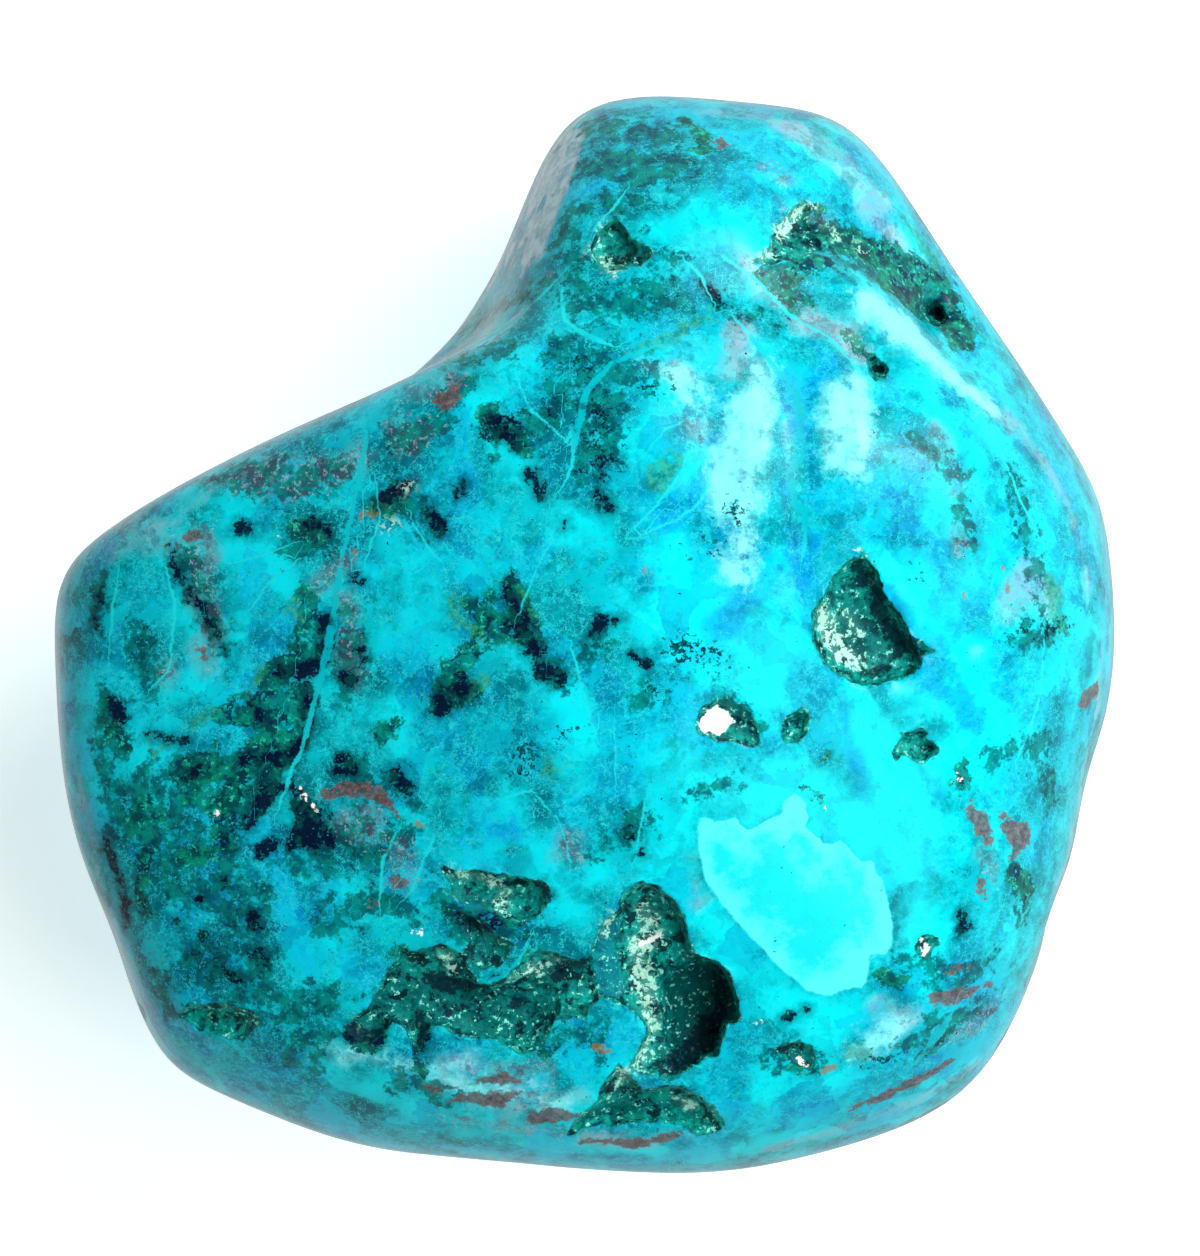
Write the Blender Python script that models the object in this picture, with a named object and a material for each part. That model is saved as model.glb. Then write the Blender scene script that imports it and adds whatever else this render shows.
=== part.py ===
"""A palm-sized turquoise stone, tumbled and polished from one lump of rock.

The lump is worked out as a field, in millimetres: negative inside the stone, positive outside.
Two rounded blocks, the broad body and the neck that rises behind its crest, run into each other.
Folds are pressed into the field, a ball of faces is drawn out to where the field is zero, the
underside is ground flat, and the vugs, which are the rough hollows, are cut into the skin.

The stone lies on its flat underside at Z = 0, with its broad face up.
"""

import math

import bmesh
import bpy
import numpy as np
from mathutils import Matrix, Vector, noise
from mathutils.bvhtree import BVHTree

MM = 0.001

# Driving dimensions, in millimetres.
WAIST_HEIGHT = 15.0  # where the stone is widest, above the surface that it lies on
BODY_RISE = 20.3  # from the waist to the top of the broad face
NECK_RISE = 16.2  # from the waist to the top of the neck
DROP = 17.0  # from the waist to the underside, before it is ground flat

# The ball of faces that becomes the skin.
BALL_CUTS = 21  # cuts along each edge of the cube that is rounded into a ball
HEART = (3.0, 2.0, 14.0)  # the point inside the stone that the skin is drawn out from
LONGEST_REACH = 60.0
HALVINGS = 34

# A wall is (azimuth in degrees, reach in mm, roundness, lean in degrees): the way it faces in
# plan, how far its waist lies from the block's middle, its shoulder, from 1, square, to 2, an
# egg's, and how far it tips to look up.
BODY_MIDDLE = (0.0, 0.0)
BODY_WALLS = (
    (64, 19.5, 1.3, 0),
    (14, 30.1, 1.6, 7),
    (-6, 29.6, 1.6, 9),
    (-27, 32.4, 1.6, 5),
    (-50, 34.5, 1.5, 0),
    (-73, 32.1, 1.5, -5),
    (-95, 30.2, 1.45, -7),
    (-113, 32.1, 1.5, -4),
    (-136, 35.8, 1.6, 2),
    (-159, 31.6, 1.3, 6),
    (-177, 29.9, 1.3, 8),
    (150, 31.2, 1.3, 4),
    (127.7, 21.3, 1.25, 2),
    (113.6, 16.6, 1.1, 0),
    (85, 22.1, 1.4, 0),
)
NECK_MIDDLE = (8.9, 20.0)
NECK_WALLS = (
    (33.5, 10.5, 1.4, 2),
    (60, 11.5, 1.4, 6),
    (86.7, 10.5, 1.5, 4),
    (112, 12.8, 1.5, 0),
    (135, 17.7, 1.5, -4),
    (160, 13.2, 1.2, 0),
    (-150, 19.8, 1.5, 0),
    (-90, 26.4, 1.8, 0),
    (-40, 32.0, 1.8, 4),
    (0, 20.3, 1.6, 6),
)
SLOPES = (-60, -32, -6, 6, 32, 60)  # how steeply a block's faces look up or down, in degrees
UNDER_ROUNDNESS = 1.9  # of every shoulder below the waist
EDGE = 0.7  # how widely two faces of a block round into each other, in millimetres
BLEND = 1.2  # how widely the neck runs into the body

# A ground face is (azimuth, tilt, height): the way it tips, how far from level, in degrees, and
# how far along its own normal it lies from the block's middle, in mm. One that is tilted past 90
# is on the underside.
BODY_GROUND = (
    (186, 13, 18.9),
    (-4, 12, 20.2),
    (-90, 17, 21.4),
    (95, 22, 23.4),
    (-70, 158, 18.2),
    (170, 152, 17.8),
    (40, 150, 19.5),
)
NECK_GROUND = (
    (160, 75, 13.9),
    (105, 20, 15.6),
    (45, 42, 13.2),
    (33, 62, 12.3),
    (90, 50, 13.0),
)

# Low swells over the whole skin, so that no face is dead flat.
SWELL_HEIGHT = 0.5  # on top, where the stone was ground most
SWELL_GAIN = 0.7  # by how much more they rise on the sides and below
SWELL_LENGTH = 11.0

# A fold is (depth, width, route): a furrow of that depth and half width. A negative depth raises
# a rib. Those on top follow a route of places in plan, (x, y) in mm.
TOP_FOLDS = (
    # Round the foot of the neck: two valleys, with a dome and a rib between them.
    (1.5, 1.3, ((7.8, 19.3), (11.5, 17.8), (14.0, 16.6), (16.3, 14.6))),
    (1.3, 1.7, ((10.5, 22.0), (14.5, 21.2), (17.5, 19.6), (19.4, 17.5), (20.4, 15.5))),
    (-0.6, 2.6, ((4.4, 21.8), (8.0, 21.8))),
    (-0.5, 1.4, ((13.6, 19.0), (18.5, 15.4), (20.6, 12.8))),
    # Flutes down the broad face.
    (0.9, 1.0, ((5.0, 14.5), (7.7, 13.6), (7.3, 8.0))),
    (0.9, 1.1, ((10.6, 15.8), (11.3, 12.0), (11.6, 6.7), (11.3, 3.0))),
    (-0.5, 1.4, ((9.2, 15.6), (9.5, 10.0), (8.9, 5.0))),
    (-0.5, 1.6, ((14.0, 13.8), (14.4, 9.0), (13.6, 5.0))),
    (-0.4, 1.8, ((4.4, 13.6), (5.2, 9.5))),
    # A crack that runs over the front left edge.
    (0.5, 1.0, ((-26.2, -13.0), (-25.6, -17.7), (-24.2, -22.0))),
)
# Those on the sides and the underside follow a route of ways from the heart, (azimuth,
# elevation) in degrees.
SIDE_FOLDS = (
    (0.9, 2.6, ((-128, -4), (-104, -14), (-78, -8), (-60, -16))),
    (0.8, 1.8, ((-38, 12), (-28, -14), (-12, -34))),
    (1.0, 2.0, ((172, 6), (184, -16), (206, -32))),
    (-0.9, 3.0, ((128, 12), (120, -14), (112, -36))),
    (0.7, 1.6, ((40, -2), (20, -26), (24, -44))),
    (-0.7, 2.4, ((-110, -30), (-70, -42), (-30, -38))),
    (0.8, 2.2, ((-160, -30), (-140, -48), (-100, -58))),
)
TOP_FADE = (8.0, 22.0)  # between these heights, folds deepen and swells flatten

# A vug on top is (x, y, depth, reaches), in mm: a spot in it, seen from above, its depth, and how
# far its mouth reaches from the spot, at even angles anticlockwise from +X. Vugs that overlap
# make one hollow.
TOP_VUGS = (
    # The three-cornered vug, right of the middle.
    (15.1, 0.1, 2.0, (2.5, 2.2, 2.3, 4.1, 3.3, 2.7, 2.7, 2.6, 2.6, 2.9, 3.0, 3.7)),
    # The deep vug at the front, from its upper lobe down to the fan, with the slope on its left.
    (3.9, -16.0, 1.7, (2.3, 2.3, 2.4, 2.6, 2.5, 2.3, 2.2, 2.1, 2.2, 2.7, 3.0, 2.4)),
    (6.4, -20.6, 3.8, (2.2, 2.5, 2.8, 3.2, 3.0, 2.5, 2.1, 2.2, 2.8, 3.3, 2.7, 2.1)),
    (3.6, -19.9, 1.7, (2.2, 2.4, 3.3, 3.8, 3.3, 1.9, 1.2, 1.2, 2.7, 4.1, 3.3, 2.4)),
    (3.4, -25.8, 1.2, (3.8, 2.5, 1.8, 1.6, 1.6, 2.1, 2.6, 3.9, 2.3, 1.8, 1.9, 3.4)),
    # The shallow hollow that runs into it from the left, and its branch.
    (-9.2, -19.9, 1.1, (3.3, 2.7, 3.0, 3.7, 3.4, 2.7, 3.3, 4.1, 2.4, 3.0, 2.3, 2.7)),
    (-4.5, -20.4, 1.5, (3.3, 3.4, 2.2, 1.4, 1.8, 3.3, 3.3, 2.7, 2.3, 2.1, 2.2, 2.6)),
    (-0.2, -17.7, 1.0, (1.9, 1.6, 1.5, 1.5, 1.6, 2.4, 3.0, 2.7, 2.4, 2.4, 2.7, 2.3)),
    (-6.6, -16.0, 0.8, (1.5, 1.6, 1.2, 1.4, 1.6, 1.4, 1.2, 1.4)),
    (-4.5, -14.0, 1.1, (2.6, 1.7, 1.1, 1.0, 1.3, 2.4, 2.7, 1.4, 1.1, 1.2, 1.6, 2.4)),
    # Smaller ones, on the front corner and on the neck.
    (-20.2, -21.3, 0.8, (2.5, 1.4, 1.0, 1.4, 2.5, 1.3, 0.9, 1.2)),
    (1.7, 21.2, 1.3, (1.3, 1.2, 1.6, 1.6, 1.4, 1.6, 1.7, 1.4)),
    (11.8, 22.9, 1.0, (1.7, 1.3, 1.1, 1.3, 1.8, 1.4, 1.3, 1.4)),
    # Holes no wider than a lentil.
    (7.5, -4.7, 0.8, (1.4, 1.1, 1.0, 1.3, 1.0, 1.1)),
    (11.4, -4.9, 0.6, (0.9, 1.0, 1.0, 0.8, 1.1, 1.0)),
    (18.0, -6.0, 0.6, (1.6, 1.1, 1.0, 1.5, 1.0, 1.1)),
    (19.4, 17.8, 2.0, (0.9, 0.9, 0.9, 0.9, 1.0, 0.9)),
    (16.1, 14.4, 1.4, (0.6, 0.5, 0.6, 0.5, 0.7, 0.5)),
    (18.8, -16.9, 0.5, (0.9, 0.7, 0.5, 0.9, 0.7, 0.7)),
    (11.8, -22.7, 0.6, (1.2, 0.8, 0.7, 1.1, 0.8, 0.7)),
)
# A vug on the sides or the underside is (azimuth, elevation, depth, reaches): the way to it from
# the heart, in degrees, and then as above, with +X level and to the right.
SIDE_VUGS = (
    (-150, 3, 1.1, (2.8, 1.6, 1.4, 2.4, 1.5, 1.3)),
    (-62, -8, 1.0, (1.3, 1.8, 2.2, 1.2, 1.5, 1.9)),
    (8, -12, 1.6, (2.4, 1.4, 1.9, 2.6, 1.7, 1.5, 2.0, 1.3)),
    (28, 4, 0.8, (1.3, 0.9, 1.1, 1.2, 0.8, 1.0)),
    (96, -16, 1.7, (3.4, 1.8, 1.5, 2.2, 2.9, 1.6, 1.3, 2.0)),
    (138, -24, 1.0, (1.9, 1.1, 1.4, 1.7, 1.0, 1.2)),
    (-96, -34, 1.3, (2.5, 1.7, 1.2, 1.9, 2.7, 1.5, 1.4, 1.3)),
    (50, -66, 1.1, (1.8, 1.3, 1.1, 1.9, 1.2, 1.4)),
)
# Down a vug's wall and in over its floor, each ring of its plug is (share of the mouth's reach,
# share of the depth).
WIDE_RINGS = ((1.0, 0.55), (0.68, 0.95), (0.3, 1.0))
SMALL_RINGS = ((1.0, 0.55), (0.3, 1.0))
WIDE_VUG = 8  # a vug whose mouth has so many reaches is a wide one
PROUD = 1.0  # how far a plug stands out of the skin
FLOOR_LUMPS = 0.35  # how high the lumps on a vug's floor are, as a share of its depth
LUMP_LENGTH = 1.4  # how far apart they are
DRILL_START = 8.0  # how far outside the skin the drill that finds a vug's floor starts

GRIND_TOLERANCE = 0.0001  # how near the ground plane a vertex counts as on it


def rounded_max(values, width):
    """The largest of the values, with the change from one to the next rounded over width."""
    top = values.max(axis=0)
    return top + width * np.log(np.exp((values - top) / width).sum(axis=0))


def facing(azimuth, elevation):
    """The unit normal of a face that looks that way, from angles in radians."""
    level = math.cos(elevation)
    return np.array((level * math.cos(azimuth), level * math.sin(azimuth), math.sin(elevation)))


def block_field(points, middle, walls, ground, rise):
    """A rounded block: the field of the walls, shoulders and ground faces that it lies inside."""
    from_middle = points - np.array((*middle, WAIST_HEIGHT))
    distances = [from_middle[:, 2] - rise, -from_middle[:, 2] - DROP]
    for azimuth, reach, roundness, lean in walls:
        for slope in SLOPES:
            slope = math.radians(slope + lean)
            height, egg = (rise, roundness) if slope > 0 else (DROP, UNDER_ROUNDNESS)
            sideways = reach * math.cos(slope)
            upright = height * abs(math.sin(slope))
            span = (sideways**egg + upright**egg) ** (1 / egg)
            distances.append(from_middle @ facing(math.radians(azimuth), slope) - span)
    for azimuth, tilt, height in ground:
        normal = facing(math.radians(azimuth), math.radians(90 - tilt))
        distances.append(from_middle @ normal - height)
    return rounded_max(np.array(distances), EDGE)


def distance_to_route(places, route):
    """How far each place is from a line through the route's points, in plan or in space."""
    nearest = np.full(len(places), np.inf)
    for start, end in zip(np.array(route[:-1]), np.array(route[1:])):
        run = end - start
        along = np.clip((places - start) @ run / (run @ run), 0, 1)
        gap = np.linalg.norm(places - start - along[:, None] * run, axis=1)
        nearest = np.minimum(nearest, gap)
    return nearest


def nearness_to_top(points):
    """From 0 low on the sides to 1 on top."""
    low, high = TOP_FADE
    return np.clip((points[:, 2] - low) / (high - low), 0, 1)


def furrow(depth, width, distance):
    return depth * np.exp(-((distance / width) ** 2))


def folds(points):
    """How far the folds lower the skin at each point, in millimetres."""
    on_top = np.zeros(len(points))
    for depth, width, route in TOP_FOLDS:
        on_top += furrow(depth, width, distance_to_route(points[:, :2], route))
    from_heart = points - np.array(HEART)
    reach = np.linalg.norm(from_heart, axis=1)
    ways = from_heart / reach[:, None]
    below = np.zeros(len(points))
    for depth, width, angles in SIDE_FOLDS:
        route = [facing(math.radians(azimuth), math.radians(up)) for azimuth, up in angles]
        below += furrow(depth, width, reach * distance_to_route(ways, route))
    return on_top * nearness_to_top(points) + below


def swells(points):
    """How far the low swells lower or raise the skin at each point, in millimetres."""
    waves = [noise.noise(Vector(point) / SWELL_LENGTH) for point in points]
    return SWELL_HEIGHT * np.array(waves) * (1 + SWELL_GAIN * (1 - nearness_to_top(points)))


def stone_field(points):
    body = block_field(points, BODY_MIDDLE, BODY_WALLS, BODY_GROUND, BODY_RISE)
    neck = block_field(points, NECK_MIDDLE, NECK_WALLS, NECK_GROUND, NECK_RISE)
    lump = -rounded_max(np.array((-body, -neck)), BLEND)
    return lump + folds(points) + swells(points)


def ball():
    """A cube of even squares, rounded into a ball about the origin."""
    bm = bmesh.new()
    bmesh.ops.create_cube(bm, size=2.0)
    bmesh.ops.subdivide_edges(bm, edges=bm.edges[:], cuts=BALL_CUTS, use_grid_fill=True)
    for vertex in bm.verts:
        # Spreading the squares by angle keeps those near the cube's corners from shrinking.
        vertex.co = Vector(math.tan(c * math.pi / 4) for c in vertex.co).normalized()
    return bm


def draw_out(bm):
    """Moves each vertex of the ball along its own direction to where the field is zero."""
    heart = np.array(HEART)
    directions = np.array([vertex.co for vertex in bm.verts])
    near = np.zeros(len(directions))
    far = np.full(len(directions), LONGEST_REACH)
    for _ in range(HALVINGS):
        reach = (near + far) / 2
        inside = stone_field(heart + directions * reach[:, None]) < 0
        near = np.where(inside, reach, near)
        far = np.where(inside, far, reach)
    for vertex, place in zip(bm.verts, heart + directions * near[:, None]):
        vertex.co = place


def grind_underside(bm):
    """Cuts the skin off at Z = 0 and closes it with one flat face."""
    geometry = bm.verts[:] + bm.edges[:] + bm.faces[:]
    cut = bmesh.ops.bisect_plane(
        bm,
        geom=geometry,
        dist=GRIND_TOLERANCE,
        plane_co=(0, 0, 0),
        plane_no=(0, 0, -1),
        clear_outer=True,
    )
    rim = [part for part in cut["geom_cut"] if isinstance(part, bmesh.types.BMEdge)]
    bmesh.ops.contextual_create(bm, geom=rim)


def new_object(name, bm):
    """An object of a mesh that was modelled in millimetres. The mesh is used up."""
    bmesh.ops.scale(bm, vec=(MM, MM, MM), verts=bm.verts[:])
    mesh = bpy.data.meshes.new(name)
    bm.to_mesh(mesh)
    bm.free()
    made = bpy.data.objects.new(name, mesh)
    bpy.context.scene.collection.objects.link(made)
    return made


def smooth_reaches(reaches):
    """The reaches with one more between each two, on a smooth curve through them all."""
    around = np.array(reaches)
    before, after, beyond = (np.roll(around, step) for step in (1, -1, -2))
    between = (9 * (around + after) - before - beyond) / 16
    return np.column_stack((around, between)).ravel()


def plug_rings(bm, reaches, depth):
    """Makes a vug's plug, still flat, and says how deep each of its vertices will sink."""
    # A circle starts at +Y, so a quarter turn back starts it at +X.
    quarter = Matrix.Rotation(-math.pi / 2, 4, "Z")
    circle = bmesh.ops.create_circle(bm, segments=len(reaches), radius=1.0, matrix=quarter)
    for vertex, reach in zip(circle["verts"], reaches):
        vertex.co *= reach
    edges = bm.edges[:]
    bmesh.ops.contextual_create(bm, geom=edges)
    sinks = {vertex: -PROUD for vertex in circle["verts"]}
    width = 1.0
    for share, sink in WIDE_RINGS if len(reaches) >= 2 * WIDE_VUG else SMALL_RINGS:
        grown = bmesh.ops.extrude_edge_only(bm, edges=edges)["geom"]
        edges = [part for part in grown if isinstance(part, bmesh.types.BMEdge)]
        ring = [part for part in grown if isinstance(part, bmesh.types.BMVert)]
        bmesh.ops.scale(bm, vec=(share / width, share / width, 1), verts=ring)
        sinks.update({vertex: depth * sink for vertex in ring})
        width = share
    floor = bmesh.ops.contextual_create(bm, geom=edges)["faces"]
    middle = bmesh.ops.poke(bm, faces=floor)["verts"]
    sinks.update({vertex: depth for vertex in middle})
    return sinks


def sink_into_skin(sinks, skin, drill, depth):
    """Moves each vertex, in the drill's frame, to its depth below the skin, with some lumps."""
    inward = -(drill.to_3x3() @ Vector((0, 0, 1)))
    for vertex, sink in sinks.items():
        start = drill @ vertex.co - inward * DRILL_START
        on_skin = skin.ray_cast(start, inward)[0]
        if sink > 0:
            sink += depth * FLOOR_LUMPS * noise.noise(on_skin / LUMP_LENGTH)
        vertex.co = on_skin + inward * sink


def plug_object(name, skin, drill, reaches, depth):
    """The closed plug, the shape of a vug, that a Boolean modifier takes out of the stone."""
    bm = bmesh.new()
    sinks = plug_rings(bm, smooth_reaches(reaches), depth)
    sink_into_skin(sinks, skin, drill, depth)
    bmesh.ops.recalc_face_normals(bm, faces=bm.faces[:])
    if bm.calc_volume(signed=True) < 0:
        bmesh.ops.reverse_faces(bm, faces=bm.faces[:])
    plug = new_object(name, bm)
    plug.hide_render = True
    plug.display_type = "WIRE"
    return plug


def drills(skin):
    """For each vug, the frame that it is drilled in, with its depth and its mouth's reaches."""
    for x, y, depth, reaches in TOP_VUGS:
        spot = skin.ray_cast(Vector((x, y, LONGEST_REACH)), Vector((0, 0, -1)))[0]
        yield Matrix.Translation(spot), depth, reaches
    for azimuth, elevation, depth, reaches in SIDE_VUGS:
        outward = Vector(facing(math.radians(azimuth), math.radians(elevation)))
        spot, normal, _, _ = skin.ray_cast(Vector(HEART), outward)
        level = Vector((-normal.y, normal.x, 0)).normalized()
        frame = Matrix((level, normal.cross(level), normal)).transposed().to_4x4()
        yield Matrix.Translation(spot) @ frame, depth, reaches


def cut_vugs(stone, skin):
    for number, (drill, depth, reaches) in enumerate(drills(skin), start=1):
        plug = plug_object(f"plug_{number:02d}", skin, drill, reaches, depth)
        plug.parent = stone
        hollow = stone.modifiers.new(f"vug_{number:02d}", "BOOLEAN")
        hollow.operation = "DIFFERENCE"
        hollow.solver = "EXACT"
        hollow.object = plug


def turquoise():
    """Polished turquoise, as one colour for the whole stone."""
    material = bpy.data.materials.new("turquoise")
    material.use_nodes = True
    shader = material.node_tree.nodes["Principled BSDF"]
    shader.inputs["Base Color"].default_value = (0.0, 0.46, 0.52, 1.0)
    shader.inputs["Roughness"].default_value = 0.22
    shader.inputs["Metallic"].default_value = 0.0
    return material


def stone_object():
    bm = ball()
    draw_out(bm)
    grind_underside(bm)
    bmesh.ops.recalc_face_normals(bm, faces=bm.faces[:])
    skin = BVHTree.FromBMesh(bm)
    stone = new_object("turquoise_stone", bm)
    stone.data.shade_smooth()
    stone.data.materials.append(turquoise())
    cut_vugs(stone, skin)
    return stone


def stand_over_origin(stone):
    """Moves the stone so that the middle of its box, in plan, is over the origin."""
    corners = np.array(stone.bound_box)
    middle = (corners.min(axis=0) + corners.max(axis=0)) / 2
    stone.location = (-middle[0], -middle[1], 0)


for leftover in list(bpy.data.objects):
    bpy.data.objects.remove(leftover)
stand_over_origin(stone_object())
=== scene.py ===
# %% [markdown]
# # A tumbled turquoise stone
# The object is one lump of rock, about 60 mm across, with nothing fixed to it. What makes it is
# its skin: a wet-looking polish over cyan stone, shot through with green malachite, black and
# rusty rock, pale veins, and rough hollows, called vugs, that the polishing wheel never reached.
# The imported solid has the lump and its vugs. This script takes a finer copy of it, roughens the
# vugs, marks where each colour lies, and lets one material paint them all.

import math
import random

import bmesh
import bpy
import numpy as np
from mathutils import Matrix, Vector, kdtree, noise
from mathutils.bvhtree import BVHTree


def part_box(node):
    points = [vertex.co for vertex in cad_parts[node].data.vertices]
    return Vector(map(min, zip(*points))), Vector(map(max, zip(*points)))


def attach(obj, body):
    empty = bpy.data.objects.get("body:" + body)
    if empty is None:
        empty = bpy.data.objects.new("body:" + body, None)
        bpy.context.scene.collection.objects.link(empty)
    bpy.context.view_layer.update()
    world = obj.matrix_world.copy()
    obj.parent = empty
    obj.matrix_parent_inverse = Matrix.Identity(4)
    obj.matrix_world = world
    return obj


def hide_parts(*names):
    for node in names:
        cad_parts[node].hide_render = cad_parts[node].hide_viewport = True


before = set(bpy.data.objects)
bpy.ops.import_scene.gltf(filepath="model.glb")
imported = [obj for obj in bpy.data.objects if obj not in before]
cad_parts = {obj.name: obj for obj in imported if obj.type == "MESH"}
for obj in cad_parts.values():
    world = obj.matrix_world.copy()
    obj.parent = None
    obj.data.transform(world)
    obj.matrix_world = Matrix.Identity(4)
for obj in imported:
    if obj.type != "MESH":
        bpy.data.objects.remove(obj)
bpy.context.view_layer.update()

MM = 0.001
NODE = "turquoise_stone"
low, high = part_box(NODE)
print("stone, mm:", [round(side / MM, 1) for side in high - low])

# %% [markdown]
# ## The camera
# The stone is looked at from straight above, from about 30 cm, with its neck up in the picture.
# The same few values give the camera and the sight lines: later, a mark that has a place in the
# picture is put on the stone by a ray from the eye through that place. A mark placed that way
# lies on the skin, so that it holds from every side.

# %% The camera
PICTURE = (1200, 1256)  # in pixels
PICTURE_TALL = 71.59 * MM  # how much the picture takes in at the stone's waist
WAIST = 16 * MM
EYE = Vector((0.81, 0.195, 316)) * MM
SENSOR = 36.0
NEAREST = 0.005  # the camera sees nothing nearer than this
FURTHEST = 20.0

camera_data = bpy.data.cameras.new("camera")
camera_data.sensor_width = SENSOR
camera_data.lens = SENSOR * (EYE.z - WAIST) / PICTURE_TALL
camera_data.clip_start = NEAREST
camera_data.clip_end = FURTHEST
camera = bpy.data.objects.new("camera", camera_data)
camera.location = EYE
bpy.context.scene.collection.objects.link(camera)
bpy.context.scene.camera = camera
print("lens, mm:", round(camera_data.lens, 1))

# %% [markdown]
# ## The studio
# Polished stone shows what is around it, so the room matters as much as the stone. A white table
# that glows a little, as a light table does, keeps the shadow pale and the steep rims light. It
# is hidden from reflections, which would wash out the colour. Three soft windows stand close on
# the right: close, so that their light falls off towards the left of the stone. Only the first
# of them shows in the polish. The room is pale round the stone and dim overhead, so the rims
# turn milky while the top keeps its full colour.

# %% The table
TABLE_SIZE = 3.0
TABLE_FINISH = {
    "Base Color": (0.86, 0.87, 0.87, 1),
    "Roughness": 0.9,
    "Specular IOR Level": 0.0,
    "Emission Color": (0.90, 1.0, 1.0, 1),
    "Emission Strength": 0.66,
}

table_bm = bmesh.new()
bmesh.ops.create_grid(table_bm, x_segments=1, y_segments=1, size=TABLE_SIZE / 2)
table_mesh = bpy.data.meshes.new("table")
table_bm.to_mesh(table_mesh)
table_bm.free()
table = bpy.data.objects.new("table", table_mesh)
bpy.context.scene.collection.objects.link(table)
table_paint = bpy.data.materials.new("white_table")
table_paint.use_nodes = True
table_shader = table_paint.node_tree.nodes["Principled BSDF"]
for name, value in TABLE_FINISH.items():
    table_shader.inputs[name].default_value = value
table_mesh.materials.append(table_paint)
table.visible_glossy = False
print("table, m:", [round(side, 2) for side in table.dimensions])

# %% Window light
WINDOWS = (
    # (name, azimuth, elevation, distance in m, width in m, power in W, shows in the polish)
    ("window", 30, 42, 0.20, 0.15, 0.16, True),
    ("side_window", 52, 54, 0.22, 0.14, 0.32, False),
    ("front_window", -28, 60, 0.26, 0.14, 0.34, False),
)
CURTAINS = (0.35, 0.65, 1.0)  # a window is discs in front of each other, so that its edge is soft


def add_window(name, azimuth, elevation, distance, width, power, shows):
    """Round area lights that look at the stone from that way."""
    turn, rise = math.radians(azimuth), math.radians(elevation)
    level = math.cos(rise)
    way = Vector((level * math.cos(turn), level * math.sin(turn), math.sin(rise)))
    discs = CURTAINS if shows else (1.0,)
    for share in discs:
        light = bpy.data.lights.new(name, "AREA")
        light.shape = "DISK"
        light.size = width * share
        light.energy = power / len(discs)
        lamp = bpy.data.objects.new(name, light)
        lamp.location = Vector((0, 0, WAIST)) + way * distance
        lamp.rotation_euler = way.to_track_quat("Z", "Y").to_euler()
        lamp.visible_glossy = shows
        bpy.context.scene.collection.objects.link(lamp)


for window in WINDOWS:
    add_window(*window)
print("windows:", len(WINDOWS))

# %% The room
ROOM_WHITE = (0.97, 1.0, 1.0, 1)
ROOM_HORIZON = 0.52  # how bright the room is level with the stone
ROOM_OVERHEAD = 0.10  # and overhead
ROOM_DIMS = (0.05, 0.55)  # from the first height to the second it dims, 1 being straight overhead
room = bpy.data.worlds.new("room")
bpy.context.scene.world = room
room.use_nodes = True
room_tree = room.node_tree
heading = room_tree.nodes.new("ShaderNodeTexCoord")
split = room_tree.nodes.new("ShaderNodeSeparateXYZ")
fade = room_tree.nodes.new("ShaderNodeMapRange")
fade.inputs["From Min"].default_value, fade.inputs["From Max"].default_value = ROOM_DIMS
fade.inputs["To Min"].default_value = ROOM_HORIZON
fade.inputs["To Max"].default_value = ROOM_OVERHEAD
backdrop = room_tree.nodes["Background"]
backdrop.inputs["Color"].default_value = ROOM_WHITE
room_tree.links.new(heading.outputs["Generated"], split.inputs[0])
room_tree.links.new(split.outputs["Z"], fade.inputs["Value"])
room_tree.links.new(fade.outputs["Result"], backdrop.inputs["Strength"])
bpy.context.scene.view_settings.view_transform = "Standard"
print("room, from level to overhead:", ROOM_HORIZON, ROOM_OVERHEAD)

# %% [markdown]
# ## A finer skin
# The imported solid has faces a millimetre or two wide, which is right for a solid and coarse for
# a polish. Its copy is merged, its triangles are paired into squares, and its sharp edges, which
# are the rims of the vugs, are creased. Subdivision then rounds everything but the rims, and a
# voxel remesh gives even faces, fine enough for the lumps in the vugs.

# %% Copy the solid and find its vugs
MERGE = 0.001 * MM
RIM_ANGLE = math.radians(33)  # skin meets the wall of a vug at a sharper edge than this
FOOT_FACING = -0.999  # the foot looks straight down
FOOT_WITHIN = 0.05 * MM  # and lies this close to the table


def is_foot(face):
    return face.normal.z < FOOT_FACING and face.calc_center_median().z < FOOT_WITHIN


def skin_faces(bm):
    """The faces of the polished skin: all that can be reached without crossing a rim."""
    start = max(bm.faces, key=lambda face: face.calc_center_median().z)
    reached = {start}
    waiting = [start]
    while waiting:
        for edge in waiting.pop().edges:
            if edge.calc_face_angle(0) > RIM_ANGLE:
                continue
            fresh = [face for face in edge.link_faces if face not in reached]
            reached.update(fresh)
            waiting.extend(fresh)
    return reached | {face for face in bm.faces if is_foot(face)}


coarse = bmesh.new()
coarse.from_mesh(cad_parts[NODE].data)
crease = coarse.edges.layers.float.new("crease_edge")
bmesh.ops.remove_doubles(coarse, verts=coarse.verts[:], dist=MERGE)
skin = skin_faces(coarse)
rims = [edge for edge in coarse.edges
        if len(edge.link_faces) == 2 and (edge.link_faces[0] in skin) != (edge.link_faces[1] in skin)]
print("faces:", len(coarse.faces), "in vugs:", len(coarse.faces) - len(skin), "rim edges:", len(rims))

# %% Keep what tells the vugs from the skin
RIM_STEP = 0.1 * MM


def along(edge, step):
    """Points along an edge, no further apart than the step."""
    start, end = (vertex.co for vertex in edge.verts)
    count = max(1, math.ceil((end - start).length / step))
    return [start.lerp(end, number / count) for number in range(count)]


def tree_of(points):
    tree = kdtree.KDTree(len(points))
    for number, point in enumerate(points):
        tree.insert(point, number)
    tree.balance()
    return tree


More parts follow.
